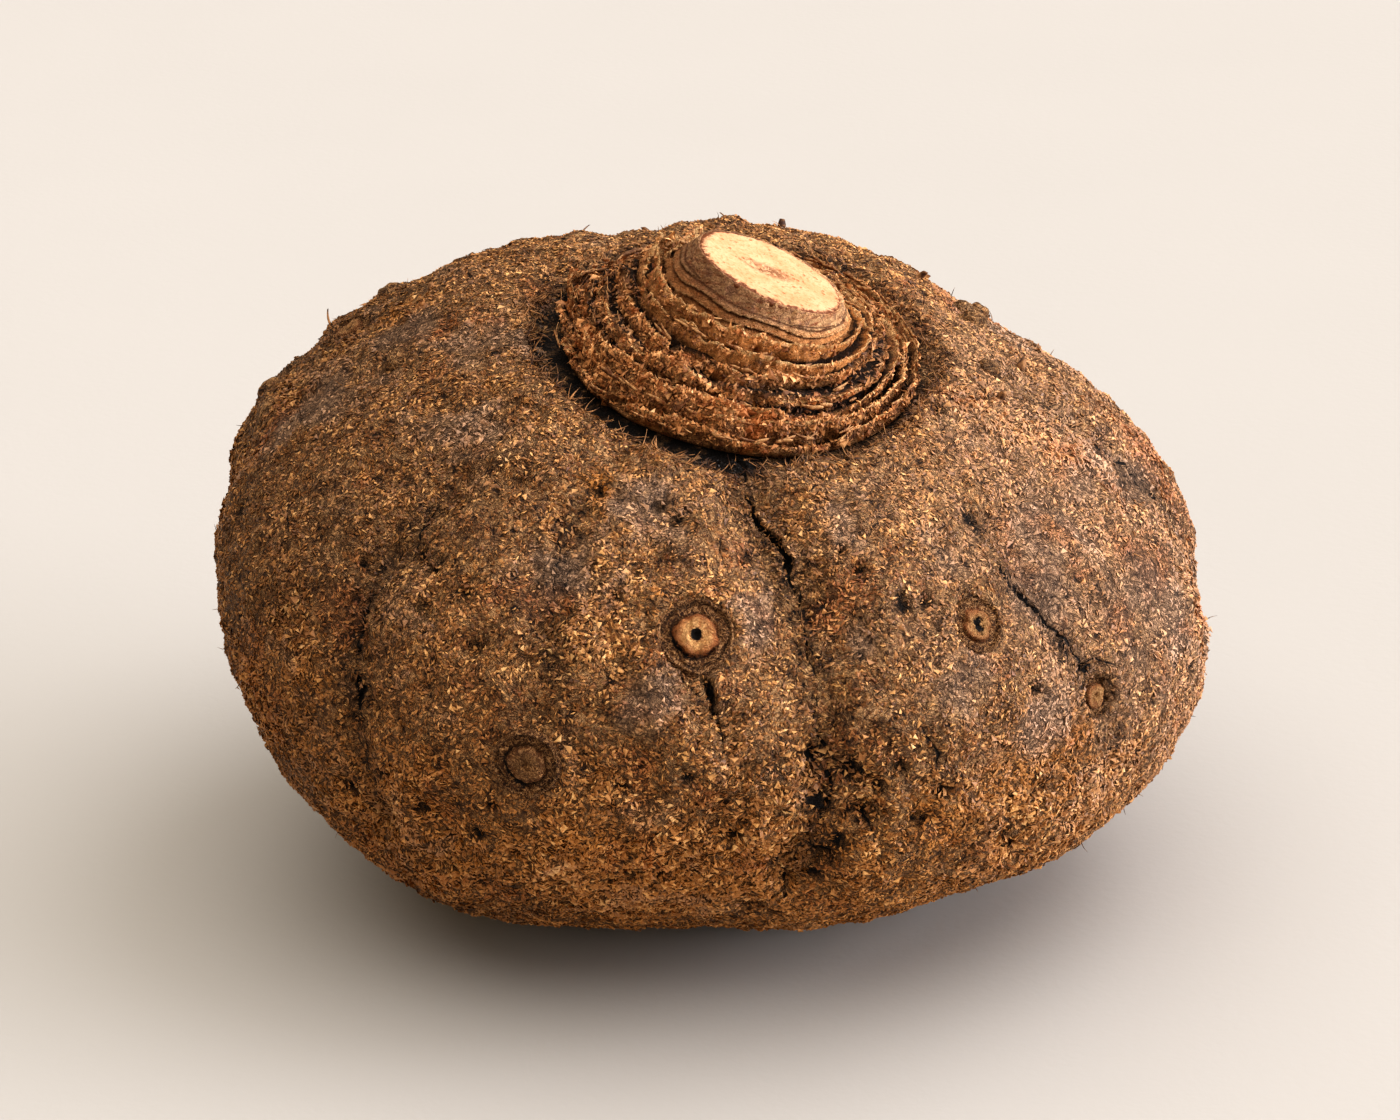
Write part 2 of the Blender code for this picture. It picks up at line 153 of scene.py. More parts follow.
def tuber_radius(rays):
    """Distance from the heart to the skin: a superellipsoid, plus bell-shaped swellings,
    minus bell-shaped furrows along their paths."""
    own = np.abs(rays @ leaning_axes().T) / (HALF_WIDTH, HALF_DEPTH, HALF_HEIGHT)
    radius = (own ** ROUNDNESS).sum(axis=1) ** (-1.0 / ROUNDNESS)
    for azimuth, elevation, rise, spread in SWELLINGS:
        angle = np.degrees(np.arccos(np.clip(rays @ direction(azimuth, elevation), -1.0, 1.0)))
        radius = radius + rise * np.exp(-(angle / spread) ** 2)
    base = radius.copy()
    for depth, width, path in FURROWS:
        radius = radius - depth * np.exp(-(path_distance(rays, path)[0] * base / width) ** 2)
    return radius


def smooth_step(low, high, value):
    """0 below low, 1 above high, with a soft start and end between."""
    share = np.clip((value - low) / (high - low), 0.0, 1.0)
    return share * share * (3.0 - 2.0 * share)


def crown_reach(points):
    """Height over the crown's plane, and distance from the crown's axis."""
    up = unit(CROWN_UP)
    offset = points - CROWN
    height = offset @ up
    return height, np.linalg.norm(offset - height[..., None] * up, axis=-1)


def tuber_skin(rays):
    """Points of the skin along the rays, with the saucer pressed in at the crown."""
    points = HEART + rays * tuber_radius(rays)[:, None]
    height, reach = crown_reach(points)
    pressed = (rays @ unit(CROWN_UP) > 0.0) * (1.0 - smooth_step(SAUCER_FLOOR, SAUCER_EDGE, reach))
    return points + (pressed * (-SAUCER_DEPTH - height))[:, None] * unit(CROWN_UP)


def skin_frame(ray):
    """The skin point on one ray, with the outward normal and one tangent."""
    side = unit(np.cross(ray, (0.0, 0.0, 1.0) if abs(ray[2]) < 0.9 else (0.0, 1.0, 0.0)))
    other = np.cross(ray, side)
    small = 0.02
    rays = unit(np.array([ray, ray + small * side, ray + small * other]))
    point, near_side, near_other = tuber_skin(rays)
    normal = unit(np.cross(near_side - point, near_other - point))
    if normal @ ray < 0.0:
        normal = -normal
    tangent = unit(side - (side @ normal) * normal)
    return point, normal, tangent


print("height of the skin over the crown's centre, mm:",
      round(1000 * float(tuber_radius(unit(CROWN_UP)[None, :])[0]), 1))

# %% [markdown]
# ## Rough numbers
#
# Nothing on a root repeats, so every relief needs smooth random values. A texture node would
# do for colour, but the mesh needs them as numbers. Each corner of a cubic lattice gets a
# hashed value, and the values are blended across the cell. Finer lattices are added at half
# the strength, which gives lumps that carry lumps.


# %% Smooth random values in space
def lattice_noise(points, size, seed):
    """Values from -1 to 1 that change over about one size: the hashed values of the eight
    corners of a point's cell, blended by a smooth step along each axis."""
    cell = np.asarray(points) / size + 512.0
    corner = np.floor(cell).astype(np.int64)
    share = cell - corner
    share = share * share * (3.0 - 2.0 * share)
    total = np.zeros(cell.shape[:-1])
    for step in np.ndindex(2, 2, 2):
        key = ((corner + step) * (73856093, 19349663, 83492791)).sum(axis=-1) + seed * 15485863
        key = (key ^ (key >> 13)) * 1274126177 & 0x7FFFFFFF
        key = (key ^ (key >> 11)) * 668265263 & 0x7FFFFFFF
        weight = np.prod(np.where(step, share, 1.0 - share), axis=-1)
        total += weight * ((key >> 8 & 0xFFFF) / 32767.5 - 1.0)
    return total


def rough(points, size, seed, layers=3):
    """Noise over noise: each layer is half the size and about half the strength."""
    return sum(0.55 ** k * lattice_noise(points, size * 0.5 ** k, seed + 7 * k) for k in range(layers))


def layered(points, table):
    """Several roughnesses added up: each row has a height, a size, a seed and its layers."""
    return sum(tall * rough(points, size, seed, layers) for tall, size, seed, layers in table)


sample = rough(np.random.default_rng(1).uniform(0, 1, (4000, 3)), 0.01, 3)
print("rough numbers lie between", round(float(sample.min()), 2), "and", round(float(sample.max()), 2))


# %% [markdown]
# ## From arrays to a mesh
#
# A grid of points becomes a closed skin when its last column joins its first, and a single
# point closes each end. The texture map is the grid itself: one square of it for each square
# of the mesh, so that nothing overlaps. Small copies share one pattern of faces, and each has
# a cell of the map to itself.


# %% Mesh helpers
def store(name, points, faces, corner_uv, values=None, soft=True):
    """A mesh object from arrays: points, faces of equal size, a map position for each face
    corner, and named values for each point."""
    mesh = bpy.data.meshes.new(name)
    sides = faces.shape[1]
    mesh.vertices.add(len(points))
    mesh.vertices.foreach_set("co", np.ascontiguousarray(points, dtype=np.float32).ravel())
    mesh.loops.add(faces.size)
    mesh.loops.foreach_set("vertex_index", faces.astype(np.int32).ravel())
    mesh.polygons.add(len(faces))
    mesh.polygons.foreach_set("loop_start", np.arange(0, faces.size, sides, dtype=np.int32))
    mesh.update(calc_edges=True)
    layer = mesh.uv_layers.new(name="OFBake")
    layer.data.foreach_set("uv", np.ascontiguousarray(corner_uv, dtype=np.float32).ravel())
    for label, numbers in (values or {}).items():
        slot = mesh.attributes.new(label, "FLOAT", "POINT")
        slot.data.foreach_set("value", np.ascontiguousarray(numbers, dtype=np.float32).ravel())
    mesh.validate()
    if soft:
        mesh.shade_smooth()
    else:
        mesh.shade_flat()
    made = bpy.data.objects.new(name, mesh)
    bpy.context.scene.collection.objects.link(made)
    return made


def grid_squares(rows, columns):
    """Row and column of each square of a grid whose columns run round, and two triangles for
    each square."""
    i, j = (n.ravel() for n in np.meshgrid(np.arange(rows - 1), np.arange(columns), indexing="ij"))
    k = (j + 1) % columns
    a, b, c, d = i * columns + j, i * columns + k, (i + 1) * columns + k, (i + 1) * columns + j
    return i, j, np.concatenate([np.stack([a, b, c], 1), np.stack([a, c, d], 1)])


def closed_grid(name, grid, values=None):
    """A skin over rows of points; columns run round, and the first and last rows shrink to
    their own middle point. Triangles throughout, so that no face is bent."""
    rows, columns = grid.shape[:2]
    points = np.concatenate([grid.reshape(-1, 3), [grid[0].mean(axis=0), grid[-1].mean(axis=0)]])
    i, j, faces = grid_squares(rows, columns)
    n = np.arange(columns)
    after, first = (n + 1) % columns, np.full(columns, rows * columns)
    top = (rows - 1) * columns
    tips = [np.stack([after, n, first], 1), np.stack([top + n, top + after, first + 1], 1)]

    def spots(*corners):
        """Map places of each triangle's corners, given as pairs of a column and a row."""
        return np.stack([np.stack(np.broadcast_arrays(column / columns, row / (rows + 1)), 1)
                         for column, row in corners], 1)

    corner_uv = [spots((j, i + 1), (j + 1, i + 1), (j + 1, i + 2)),
                 spots((j, i + 1), (j + 1, i + 2), (j, i + 2)),
                 spots((n + 1, 1), (n, 1), (n + 0.5, 0)),
                 spots((n, rows), (n + 1, rows), (n + 0.5, rows + 1))]
    spread = {}
    for label, numbers in (values or {}).items():
        numbers = np.broadcast_to(numbers, (rows, columns))
        spread[label] = np.concatenate([numbers.reshape(-1), [numbers[0].mean(), numbers[-1].mean()]])
    return store(name, points, np.concatenate([faces, *tips]), np.concatenate(corner_uv), spread)


def tube_faces(rows, turns):
    """Triangles of one closed tube: its squares, and a fan over each end."""
    j = np.arange(1, turns - 1)
    fan = np.stack([0 * j, j, j + 1], 1)
    return np.concatenate([grid_squares(rows, turns)[2], fan[:, [0, 2, 1]], fan + (rows - 1) * turns])


def copies(name, points, faces, values=None, soft=True):
    """Many small closed shapes in one mesh: points are (copies, corners, 3), and faces are
    the triangles of one copy. Each triangle gets half of a small square of the map."""
    count, corners = points.shape[:2]
    all_faces = (faces[None] + np.arange(count)[:, None, None] * corners).reshape(-1, 3)
    number = np.arange(len(all_faces))
    side = math.ceil(math.sqrt(len(all_faces) / 2))
    square = number // 2
    base = np.stack([square % side, square // side], 1) / side
    even = (number % 2 == 0)[:, None, None]
    half = np.where(even, [[0.1, 0.1], [0.8, 0.1], [0.1, 0.8]], [[0.9, 0.9], [0.2, 0.9], [0.9, 0.2]])
    corner_uv = base[:, None, :] + half / side
    spread = {label: v.reshape(-1) for label, v in (values or {}).items()}
    return store(name, points.reshape(-1, 3), all_faces, corner_uv, spread, soft)


def grid_normals(grid, outward):
    """Unit normals of a grid whose columns run round: the cross product of its two
    differences, turned to the outward side."""
    across = np.roll(grid, -1, axis=1) - np.roll(grid, 1, axis=1)
    along = np.gradient(grid, axis=0)
    normals = np.cross(across, along)
    normals /= np.maximum(np.linalg.norm(normals, axis=-1, keepdims=True), 1e-12)
    return normals * np.sign((normals * outward).sum(axis=-1, keepdims=True) + 1e-9)


def full_turn(count):
    """Even angles once round, the last one short of the first."""
    return np.linspace(0.0, 2.0 * math.pi, count, endpoint=False)


def circled(turn, reach, height):
    """Points at a turn round an axis, a reach from it and a height along it."""
    return np.stack(np.broadcast_arrays(reach * np.cos(turn), reach * np.sin(turn), height), axis=-1)


def dress(piece, material):
    """A finished piece gets its material and its slot, and rides on the yam's one body."""
    piece.data.materials.append(material)
    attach(piece, "root")


print("mesh helpers ready")

# %% [markdown]
# ## Shader arithmetic
#
# A node tree is easier to read as sums than as boxes and threads. This class wraps one socket.
# Adding or multiplying two of them puts a Math node in the tree, and one method makes every
# other kind of node.


# %% A socket that can be calculated with
class Wire:
    """One output of a node in a material's tree."""

    def __init__(self, tree, socket=None):
        self.tree = tree
        self.socket = socket

    def node(self, kind, settings=None, inputs=None, output=0):
        """A new node: its settings first, then the values or wires of its sockets."""
        made = self.tree.nodes.new(kind)
        for label, value in (settings or {}).items():
            if label == "stops":
                ramp = made.color_ramp
                while len(ramp.elements) < len(value):
                    ramp.elements.new(1.0)
                for element, (place, colour) in zip(ramp.elements, value):
                    element.position = place
                    element.color = colour
            else:
                setattr(made, label, value)
        for label, value in (inputs or {}).items():
            if isinstance(value, Wire):
                self.tree.links.new(value.socket, made.inputs[label])
            else:
                made.inputs[label].default_value = value
        return Wire(self.tree, made.outputs[output])

    def calc(self, operation, *others):
        return self.node("ShaderNodeMath", {"operation": operation}, dict(enumerate((self, *others))))

    def __add__(self, other):
        return self.calc("ADD", other)

    def __sub__(self, other):
        return self.calc("SUBTRACT", other)

    def __mul__(self, other):
        return self.calc("MULTIPLY", other)

    def __rsub__(self, other):
        return self.node("ShaderNodeMath", {"operation": "SUBTRACT"}, {0: other, 1: self})

    __radd__ = __add__
    __rmul__ = __mul__

    def clamp(self):
        return self.node("ShaderNodeClamp", None, {0: self})

    def between(self, low, high):
        """0 at or below low, 1 at or above high, smooth between; low may be the larger."""
        return self.node("ShaderNodeMapRange", {"interpolation_type": "SMOOTHSTEP"},
                         {"Value": self, "From Min": low, "From Max": high})


def colour(red, green, blue):
    """A colour given as the eye reads it, 0 to 255, in the shader's linear values."""
    return tuple((channel / 255.0) ** 2.2 for channel in (red, green, blue)) + (1.0,)


def blend(start, end, share):
    """One colour laid over another by a share of it."""
    wire = next(x for x in (share, start, end) if isinstance(x, Wire))
    return wire.node("ShaderNodeMix", {"data_type": "RGBA"}, {0: share, 6: start, 7: end}, output=2)


def new_material(name):
    """An empty material: its start wire, its own object coordinates, and its shader."""
    made = bpy.data.materials.new(name)
    made.use_nodes = True
    start = Wire(made.node_tree)
    place = start.node("ShaderNodeTexCoord", output="Object")
    return made, start, place


def noise(place, scale, detail=4.0, roughness=0.55, distortion=0.0):
    """Noise between about 0.2 and 0.8; scale is in repeats per metre."""
    return place.node("ShaderNodeTexNoise", None,
                      {"Vector": place, "Scale": scale, "Detail": detail,
                       "Roughness": roughness, "Distortion": distortion}, output=0)


def value_of(start, label):
    """A named value that the mesh carries at its points."""
    return start.node("ShaderNodeAttribute", {"attribute_name": label}, output="Fac")


def finish(made, base, roughness, height=None, depth=0.001, strength=1.0, specular=0.4):
    """Joins the last colour, roughness and relief to the material's shader."""
    shader = made.node_tree.nodes["Principled BSDF"]
    links = made.node_tree.links
    links.new(base.socket, shader.inputs["Base Color"])
    if isinstance(roughness, Wire):
        links.new(roughness.socket, shader.inputs["Roughness"])
    else:
        shader.inputs["Roughness"].default_value = roughness
    shader.inputs["Specular IOR Level"].default_value = specular
    if height is not None:
        bump = height.node("ShaderNodeBump", None,
                           {"Height": height, "Distance": depth, "Strength": strength})
        links.new(bump.socket, shader.inputs["Normal"])
    return made


print("shader helpers ready")

# %% [markdown]
# ## Where the small features sit
#
# Button scars mark buds and the bases of old roots. The four in front have places of their
# own. The others, the knobs and the root stubs are scattered over the rear by a seeded draw,
# the same one that placed them on the solid.

# %% Seeded places
SEED = 41
CRACK_STEPS = 9
SCARS = (
    (0.0, 19.0, 0.0068, 0.0012),
    (-20.0, 2.5, 0.0062, 0.0007),
    (38.0, 15.5, 0.0050, 0.0006),
    (53.5, 2.0, 0.0042, 0.0010),
)
HIDDEN_SCARS = (5, (-25.0, 35.0), 15.0)
KNOBS = (24, (12.0, 46.0), 6.5)
ROOT_STUBS = (9, (22.0, 46.0), 6.5)
REAR_FROM, REAR_TO = 75.0, 285.0
CROWN_CLEAR = 0.047
HIDDEN_RADII, HIDDEN_BUTTONS = (0.0042, 0.0062), (0.0005, 0.0011)
KNOB_RADII, KNOB_HEIGHTS = (0.0016, 0.0030), (0.0009, 0.0019)
STUB_RADIUS, STUB_LENGTHS, STUB_LEAN = 0.0009, (0.0020, 0.0032), 0.7


def scatter(count, elevations, spacing, taken, draw):
    """Seeded rays on the rear, clear of the crown, the cracks and one another."""
    placed = []
    while len(placed) < count:
        ray = direction(draw.uniform(REAR_FROM, REAR_TO), draw.uniform(*elevations))
        point = tuber_skin(ray[None, :])[0]
        nearest = max(float(ray @ other) for other in taken)
        if nearest < math.cos(math.radians(spacing)) and np.linalg.norm(point - CROWN) > CROWN_CLEAR:
            placed.append(ray)
            taken.append(ray)
    return placed


def place_features():
    """Scars as (ray, radius, button), knobs as (ray, radius, height), stubs as
    (ray, slant, length). The solid's cracks took the first draws, so they are passed over."""
    draw = random.Random(SEED)
    for _ in range(CRACK_STEPS * len(CRACKS)):
        draw.random()
    taken = [direction(*corner) for _, _, path in CRACKS for corner in path]
    taken += [direction(azimuth, elevation) for azimuth, elevation, _, _ in SCARS]
    scars = [(direction(a, e), radius, button) for a, e, radius, button in SCARS]
    for ray in scatter(*HIDDEN_SCARS, taken, draw):
        scars.append((ray, draw.uniform(*HIDDEN_RADII), draw.uniform(*HIDDEN_BUTTONS)))
    knobs = [(ray, draw.uniform(*KNOB_RADII), draw.uniform(*KNOB_HEIGHTS))
             for ray in scatter(*KNOBS, taken, draw)]
    stubs = [(ray, draw.uniform(-STUB_LEAN, STUB_LEAN), draw.uniform(*STUB_LENGTHS))
             for ray in scatter(*ROOT_STUBS, taken, draw)]
    return scars, knobs, stubs


scars, knobs, stubs = place_features()
print(len(scars), "scars,", len(knobs), "knobs and", len(stubs), "root stubs")

# %% [markdown]
# ## Marks that only the surface carries
#
# Close up, a yam is more marked than any solid could hold: hair cracks, small pits, and
# patches where the cork is grey, rusty or golden. The ones that can be told apart have their
# own directions, and a seeded draw adds the rest all round, so that no side is bare.

# %% Fine cracks, pits and patches of colour
FINE_CRACKS = (
    (0.0008, 0.0007, ((-45, 31), (-44, 24), (-44.5, 19), (-46, 16))),
    (0.0007, 0.0006, ((-43.5, 11), (-43.5, 5), (-43.5, 0), (-42, -6))),
    (0.0010, 0.0010, ((15.5, 25), (15.2, 20), (16, 12))),
    (0.0011, 0.0010, ((8.5, 47), (10.5, 43), (11.5, 40))),
    (0.0010, 0.0010, ((51.5, 4.5), (49.5, 1.5), (47.8, -0.5), (49, -4))),
    (0.0006, 0.0006, ((52.4, 5.6), (54.2, 5.9), (56.2, 4.6), (57.5, 2.0), (57.6, 0))),
    (0.0009, 0.0008, ((-2.2, 15.6), (-0.8, 13.2), (0.4, 11))),
    (0.0008, 0.0008, ((46.5, 22.5), (45.6, 19.5), (46.4, 17))),
    (0.0006, 0.0005, ((-22, 33), (-21, 24.5), (-18.2, 17.5))),
    (0.0008, 0.0007, ((17, -2), (20, -5), (22, -9), (27, -12))),
    (0.0009, 0.0009, ((0.4, 13.5), (1.8, 10), (2.8, 6), (3.6, 2.5))),
)
HAIR_CRACKS = 34
HAIR_CRACK_WIDTHS = (0.0004, 0.0008)

# Directions and radii of pits that stand out
PITS = ((28.8, 20, 0.0021), (32.2, 20, 0.0017), (18.8, 1, 0.0024), (20.5, -5, 0.0028),
        (18, -9.5, 0.0024), (22, -1, 0.0022), (24.5, 1, 0.0018), (-26.8, -8.5, 0.0016),
        (-11.2, 24, 0.0014), (-3.5, 35, 0.0014), (15, -3, 0.0026), (-18.5, 38, 0.0014),
        (14.5, 3, 0.0020), (16.5, -12, 0.0022), (11, -12, 0.0018), (-32, 21, 0.0016), (-38, 24, 0.0014))
MORE_PITS = 150
PIT_RADII = (0.0008, 0.0019)

# Azimuth, elevation and spread in degrees of each patch
GREY_SPOTS = ((-6, 12, 6), (-72, 55, 9), (50, 15, 6), (-8.5, 36, 8), (9, 21, 4), (-21, 28, 6),
              (21, 17, 4), (-6, -3, 4), (-48, 41, 7), (33, 9.5, 5), (12, 42, 4), (60, 24, 9), (68, 6, 9),
              (78, 22, 10), (44, 4, 6), (38, 26, 5), (26, 33, 5))
RUST_SPOTS = ((46, 22, 3.2), (37, 15.5, 4), (-48.5, 14, 4), (6.5, 29, 3), (24, 24, 4), (71, 12, 7),
              (18, 20, 3), (-20, 22, 3), (-83, 50, 6), (60, 9, 4), (-60, 6, 5))
GOLD_SPOTS = ((16, -8, 6), (29, -6, 7), (-41, -4, 8), (-21, 40, 4), (-50, 5, 6), (-17, -11, 8),
              (0, -14, 8), (49, -6, 8), (37, -4, 6), (-6, 24, 3))
REAR_SPOTS = 12


def hair_cracks():
    """Short seeded cracks all round, most of them running up and down."""
    draw = random.Random(SEED + 3)
    made = []
    for _ in range(HAIR_CRACKS):
        azimuth, elevation = draw.uniform(-180.0, 180.0), draw.uniform(-24.0, 38.0)
        slant, reach = draw.uniform(-0.9, 0.9), draw.uniform(2.0, 5.0)
        path = [(azimuth + slant * reach * step + draw.uniform(-0.7, 0.7), elevation - reach * step)
                for step in (-1.0, -0.35, 0.3, 1.0)]
        width = draw.uniform(*HAIR_CRACK_WIDTHS)
        made.append((width, 0.8 * width, path))
    return made


def pit_places():
    """Rays and radii of all pits: the named ones, then seeded ones, more of them low down."""
    draw = random.Random(SEED + 5)
    places = [(direction(azimuth, elevation), radius) for azimuth, elevation, radius in PITS]
    for _ in range(MORE_PITS):
        elevation = draw.uniform(-30.0, 44.0) if draw.random() < 0.5 else draw.gauss(-9.0, 8.0)
        places.append((direction(draw.uniform(-180.0, 180.0), elevation), draw.uniform(*PIT_RADII)))
    return places


def patch_value(rays, points, spots, seed):
    """0 to 1 inside round patches of broken outline: the tallest of the spots' bells plus
    noise, cut off softly. Seeded spots are added on the far side."""
    draw = random.Random(seed)
    spots = list(spots) + [(draw.uniform(80.0, 280.0), draw.uniform(-30.0, 45.0), draw.uniform(4.0, 9.0))
                           for _ in range(REAR_SPOTS)]
    bell = np.zeros(len(rays))
    for azimuth, elevation, spread in spots:
        angle = np.degrees(np.arccos(np.clip(rays @ direction(azimuth, elevation), -1.0, 1.0)))
        bell = np.maximum(bell, np.exp(-(angle / spread) ** 2))
    return smooth_step(0.40, 1.05, bell + 0.50 * rough(points, 0.007, seed, 4))


print(len(FINE_CRACKS) + HAIR_CRACKS, "fine cracks,", len(pit_places()), "pits")

# %% [markdown]
# ## The skin's relief
#
# The skin is corky and dry: soft lumps a centimetre across, a rougher grain of a few
# millimetres, pits, and cracks with raised lips. The grid runs round the crown, closer in
# front and at the saucer's wall, and each point moves along its normal. Each point also keeps
# the values that its colour needs.

# %% Rows and columns of the skin
SKIN_COLUMNS = 436
SKIN_ROWS = 226
FRONT_CLOSER = 0.30
ROW_ANGLES = (0.8, 28.0, 32.0, 46.0, 120.0, 179.2)
ROW_SHARES = (0.0, 0.02, 0.05, 0.19, 0.80, 1.0)

# Height, size, seed and layers of each kind of lump, then the grain between them
LUMPS = ((0.00085, 0.017, 11, 3), (0.00072, 0.0062, 12, 3))
GRAIN_HEIGHT, GRAIN_COARSER, GRAIN_SIZE = 0.00042, 0.00034, 0.0026
CRACK_HALF, CRACK_WANDER, CRACK_NEAR = 0.48, 0.0010, 0.0040
LIP_HEIGHT, LIP_WIDTH = 0.00045, 0.0011
PIT_DEPTH, DISH_DEPTH, DISH_RIM = 0.0015, 0.0016, 0.0003
LEFT_OF_CROWN = (-0.75, -0.66, 0.0)
SUNNY_SIDE = (0.94, -0.16, 0.26)

# Azimuth, elevation, radius and height of blunt bumps on the far rim
RIM_BUMPS = ((-150.5, 50.8, 0.0040, 0.0013), (-164.5, 52.8, 0.0036, 0.0011), (-178, 51.5, 0.0040, 0.0014),
             (171, 51, 0.0034, 0.0013), (128, 51, 0.0042, 0.0013), (-114.8, 27.2, 0.0030, 0.0012))


def crown_rays(polar, turn):
    """Unit rays at an angle from the crown's direction and a turn round it."""
    axis = unit(CROWN - HEART)
    right = unit(np.cross((0.0, 1.0, 0.0), axis))
    back = np.cross(axis, right)
    swing = np.cos(turn)[..., None] * right + np.sin(turn)[..., None] * back
    return np.cos(polar)[..., None] * axis + np.sin(polar)[..., None] * swing


def skin_rays():
    """A grid of rays: rows by a table of shares, columns drawn together toward the front."""
    share = np.linspace(0.0, 1.0, SKIN_ROWS)
    polar = np.radians(np.interp(share, ROW_SHARES, ROW_ANGLES))
    round_share = 2.0 * math.pi * np.arange(SKIN_COLUMNS) / SKIN_COLUMNS
    turn = round_share - FRONT_CLOSER * np.sin(round_share) - 0.5 * math.pi
    return crown_rays(*np.meshgrid(polar, turn, indexing="ij"))


def crack_field(rays, points):
    """Signed distance across the nearest crack, half its width and its depth, in metres. A
    slow noise bends the line, and the width fades to nothing at both ends."""
    size = np.linalg.norm(points - HEART, axis=1)
    across, half, deep = np.full(len(rays), 1.0), np.zeros(len(rays)), np.zeros(len(rays))
    wander = CRACK_WANDER * rough(points, 0.0050, 5, 3)
    uneven = 0.75 + 0.6 * lattice_noise(points, 0.0035, 8)
    for width, depth, path in list(CRACKS) + list(FINE_CRACKS) + hair_cracks():
        far, side, along = path_distance(rays, path)
        signed = far * side * size + wander
        strength = np.where((along <= 0.0) | (along >= 1.0), 0.0, np.sin(math.pi * along) ** 0.5) * uneven
        near = (np.abs(signed) < np.abs(across)) & (np.abs(signed) < CRACK_NEAR)
        across = np.where(near, signed, across)
        half = np.where(near, CRACK_HALF * width * strength, half)
        deep = np.where(near, depth * strength, deep)
    return across, half, deep


def bells(rays, size, places):
    """The tallest of many small round bells: 1 at each place, fading over its radius."""
    tall = np.zeros(len(rays))
    for ray, radius in places:
        far = np.linalg.norm(rays - ray, axis=1) * size
        tall = np.maximum(tall, np.exp(-(far / radius) ** 2))
    return tall


def skin_relief(rays, points):
    """How far each point moves along its normal, with the values the colours need."""
    size = np.linalg.norm(points - HEART, axis=1)
    reach = crown_reach(points)[1]
    on_top = rays @ unit(CROWN_UP) > 0.0
    free = np.where(on_top, smooth_step(SAUCER_FLOOR - 0.001, SAUCER_EDGE, reach), 1.0)
    low = (1.0 - smooth_step(0.030, 0.080, points[:, 2] + 0.2 * (points[:, 0] - HEART[0]))) * 0.9
    front_low = np.exp(-((points[:, 2] - 0.043) / 0.018) ** 2) * (0.6 - 0.4 * rays[:, 1])
    coarse = smooth_step(0.15, 0.75, 0.75 * front_low + 0.8 * rough(points, 0.020, 19, 3))
    grain = (GRAIN_HEIGHT + GRAIN_COARSER * coarse) * rough(points, GRAIN_SIZE, 13, 2)
    across, half, deep = crack_field(rays, points)
    inside = np.clip(1.0 - np.abs(across) / np.maximum(half, 1e-6), 0.0, 1.0)
    lips = LIP_HEIGHT * (half > 0.0003) * np.exp(-((np.abs(across) - 1.3 * half) / LIP_WIDTH) ** 2)
    pit = bells(rays, size, pit_places())
    move = free * (layered(points, LUMPS) + grain) - deep * inside ** 0.7 + lips - PIT_DEPTH * pit
    for azimuth, elevation, radius, tall in RIM_BUMPS:
        move += tall * bells(rays, size, [(direction(azimuth, elevation), radius)])
    dish = np.zeros(len(rays))
    for ray, radius, _ in scars:
        far = np.linalg.norm(rays - ray, axis=1) * size
        wobble = radius * (1.0 + 0.07 * lattice_noise(points, 0.004, 17))
        dish = np.maximum(dish, 1.0 - smooth_step(0.84 * wobble, 1.02 * wobble, far))
        move += DISH_RIM * np.exp(-((far - 1.20 * wobble) / LIP_WIDTH) ** 2)
    move = move * (1.0 - dish) - DISH_DEPTH * dish
    right_side = smooth_step(0.2, 0.9, unit(points - CROWN)[:, 0])
    left_side = smooth_step(0.2, 0.9, unit(points - CROWN) @ unit(LEFT_OF_CROWN))
    litter = (1.0 - free) * on_top * smooth_step(0.0355, 0.0385, reach) * (1.0 - 0.8 * right_side)
    litter = litter * (1.0 - left_side)
    move += litter * (0.0011 + 0.0016 * rough(points, 0.0042, 23, 3))
    # Where the colours get painted shade: along the furrows, and in the saucer, most of all on the left of
    # the crown
    furrow = np.zeros(len(rays))
    for depth, width, path in FURROWS:
        far = path_distance(rays, path)[0] * size
        furrow = np.maximum(furrow, (depth > 0.0) * np.exp(-(far / (0.6 * width)) ** 2))
    values = {"crack": 1000.0 * across, "crack_half": 1000.0 * half, "pit": pit, "dish": dish,
              "furrow": furrow, "coarse": coarse,
              "saucer": np.minimum((1.0 - free) * (1.0 + 1.8 * left_side), 1.4),
              # How far the skin faces the side lamp: painted light on that side, painted shade on the other
              "side": rays @ unit(SUNNY_SIDE) + 0.16 * rough(points, 0.012, 27, 3),
              "grey": patch_value(rays, points, GREY_SPOTS, 71),
              "rust": patch_value(rays, points, RUST_SPOTS, 72),
              "gold": np.maximum(patch_value(rays, points, GOLD_SPOTS, 73), low)}
    return move, values


# %% The skin as a mesh
ray_grid = skin_rays()
rays = ray_grid.reshape(-1, 3)
smooth_grid = tuber_skin(rays).reshape(ray_grid.shape)
normals = grid_normals(smooth_grid, ray_grid)
move, skin_values = skin_relief(rays, smooth_grid.reshape(-1, 3))
skin_grid = smooth_grid + normals * move.reshape(ray_grid.shape[:2])[..., None]
skin_grid[..., 2] = np.maximum(skin_grid[..., 2], 0.0)
skin_normals = grid_normals(skin_grid, ray_grid)
skin_values = {label: v.reshape(ray_grid.shape[:2]) for label, v in skin_values.items()}
tuber_skin_piece = closed_grid("tuber_skin", skin_grid[:, ::-1],
                               {label: v[:, ::-1] for label, v in skin_values.items()})
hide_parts("tuber")
print("tuber_skin triangles:", len(tuber_skin_piece.data.polygons))
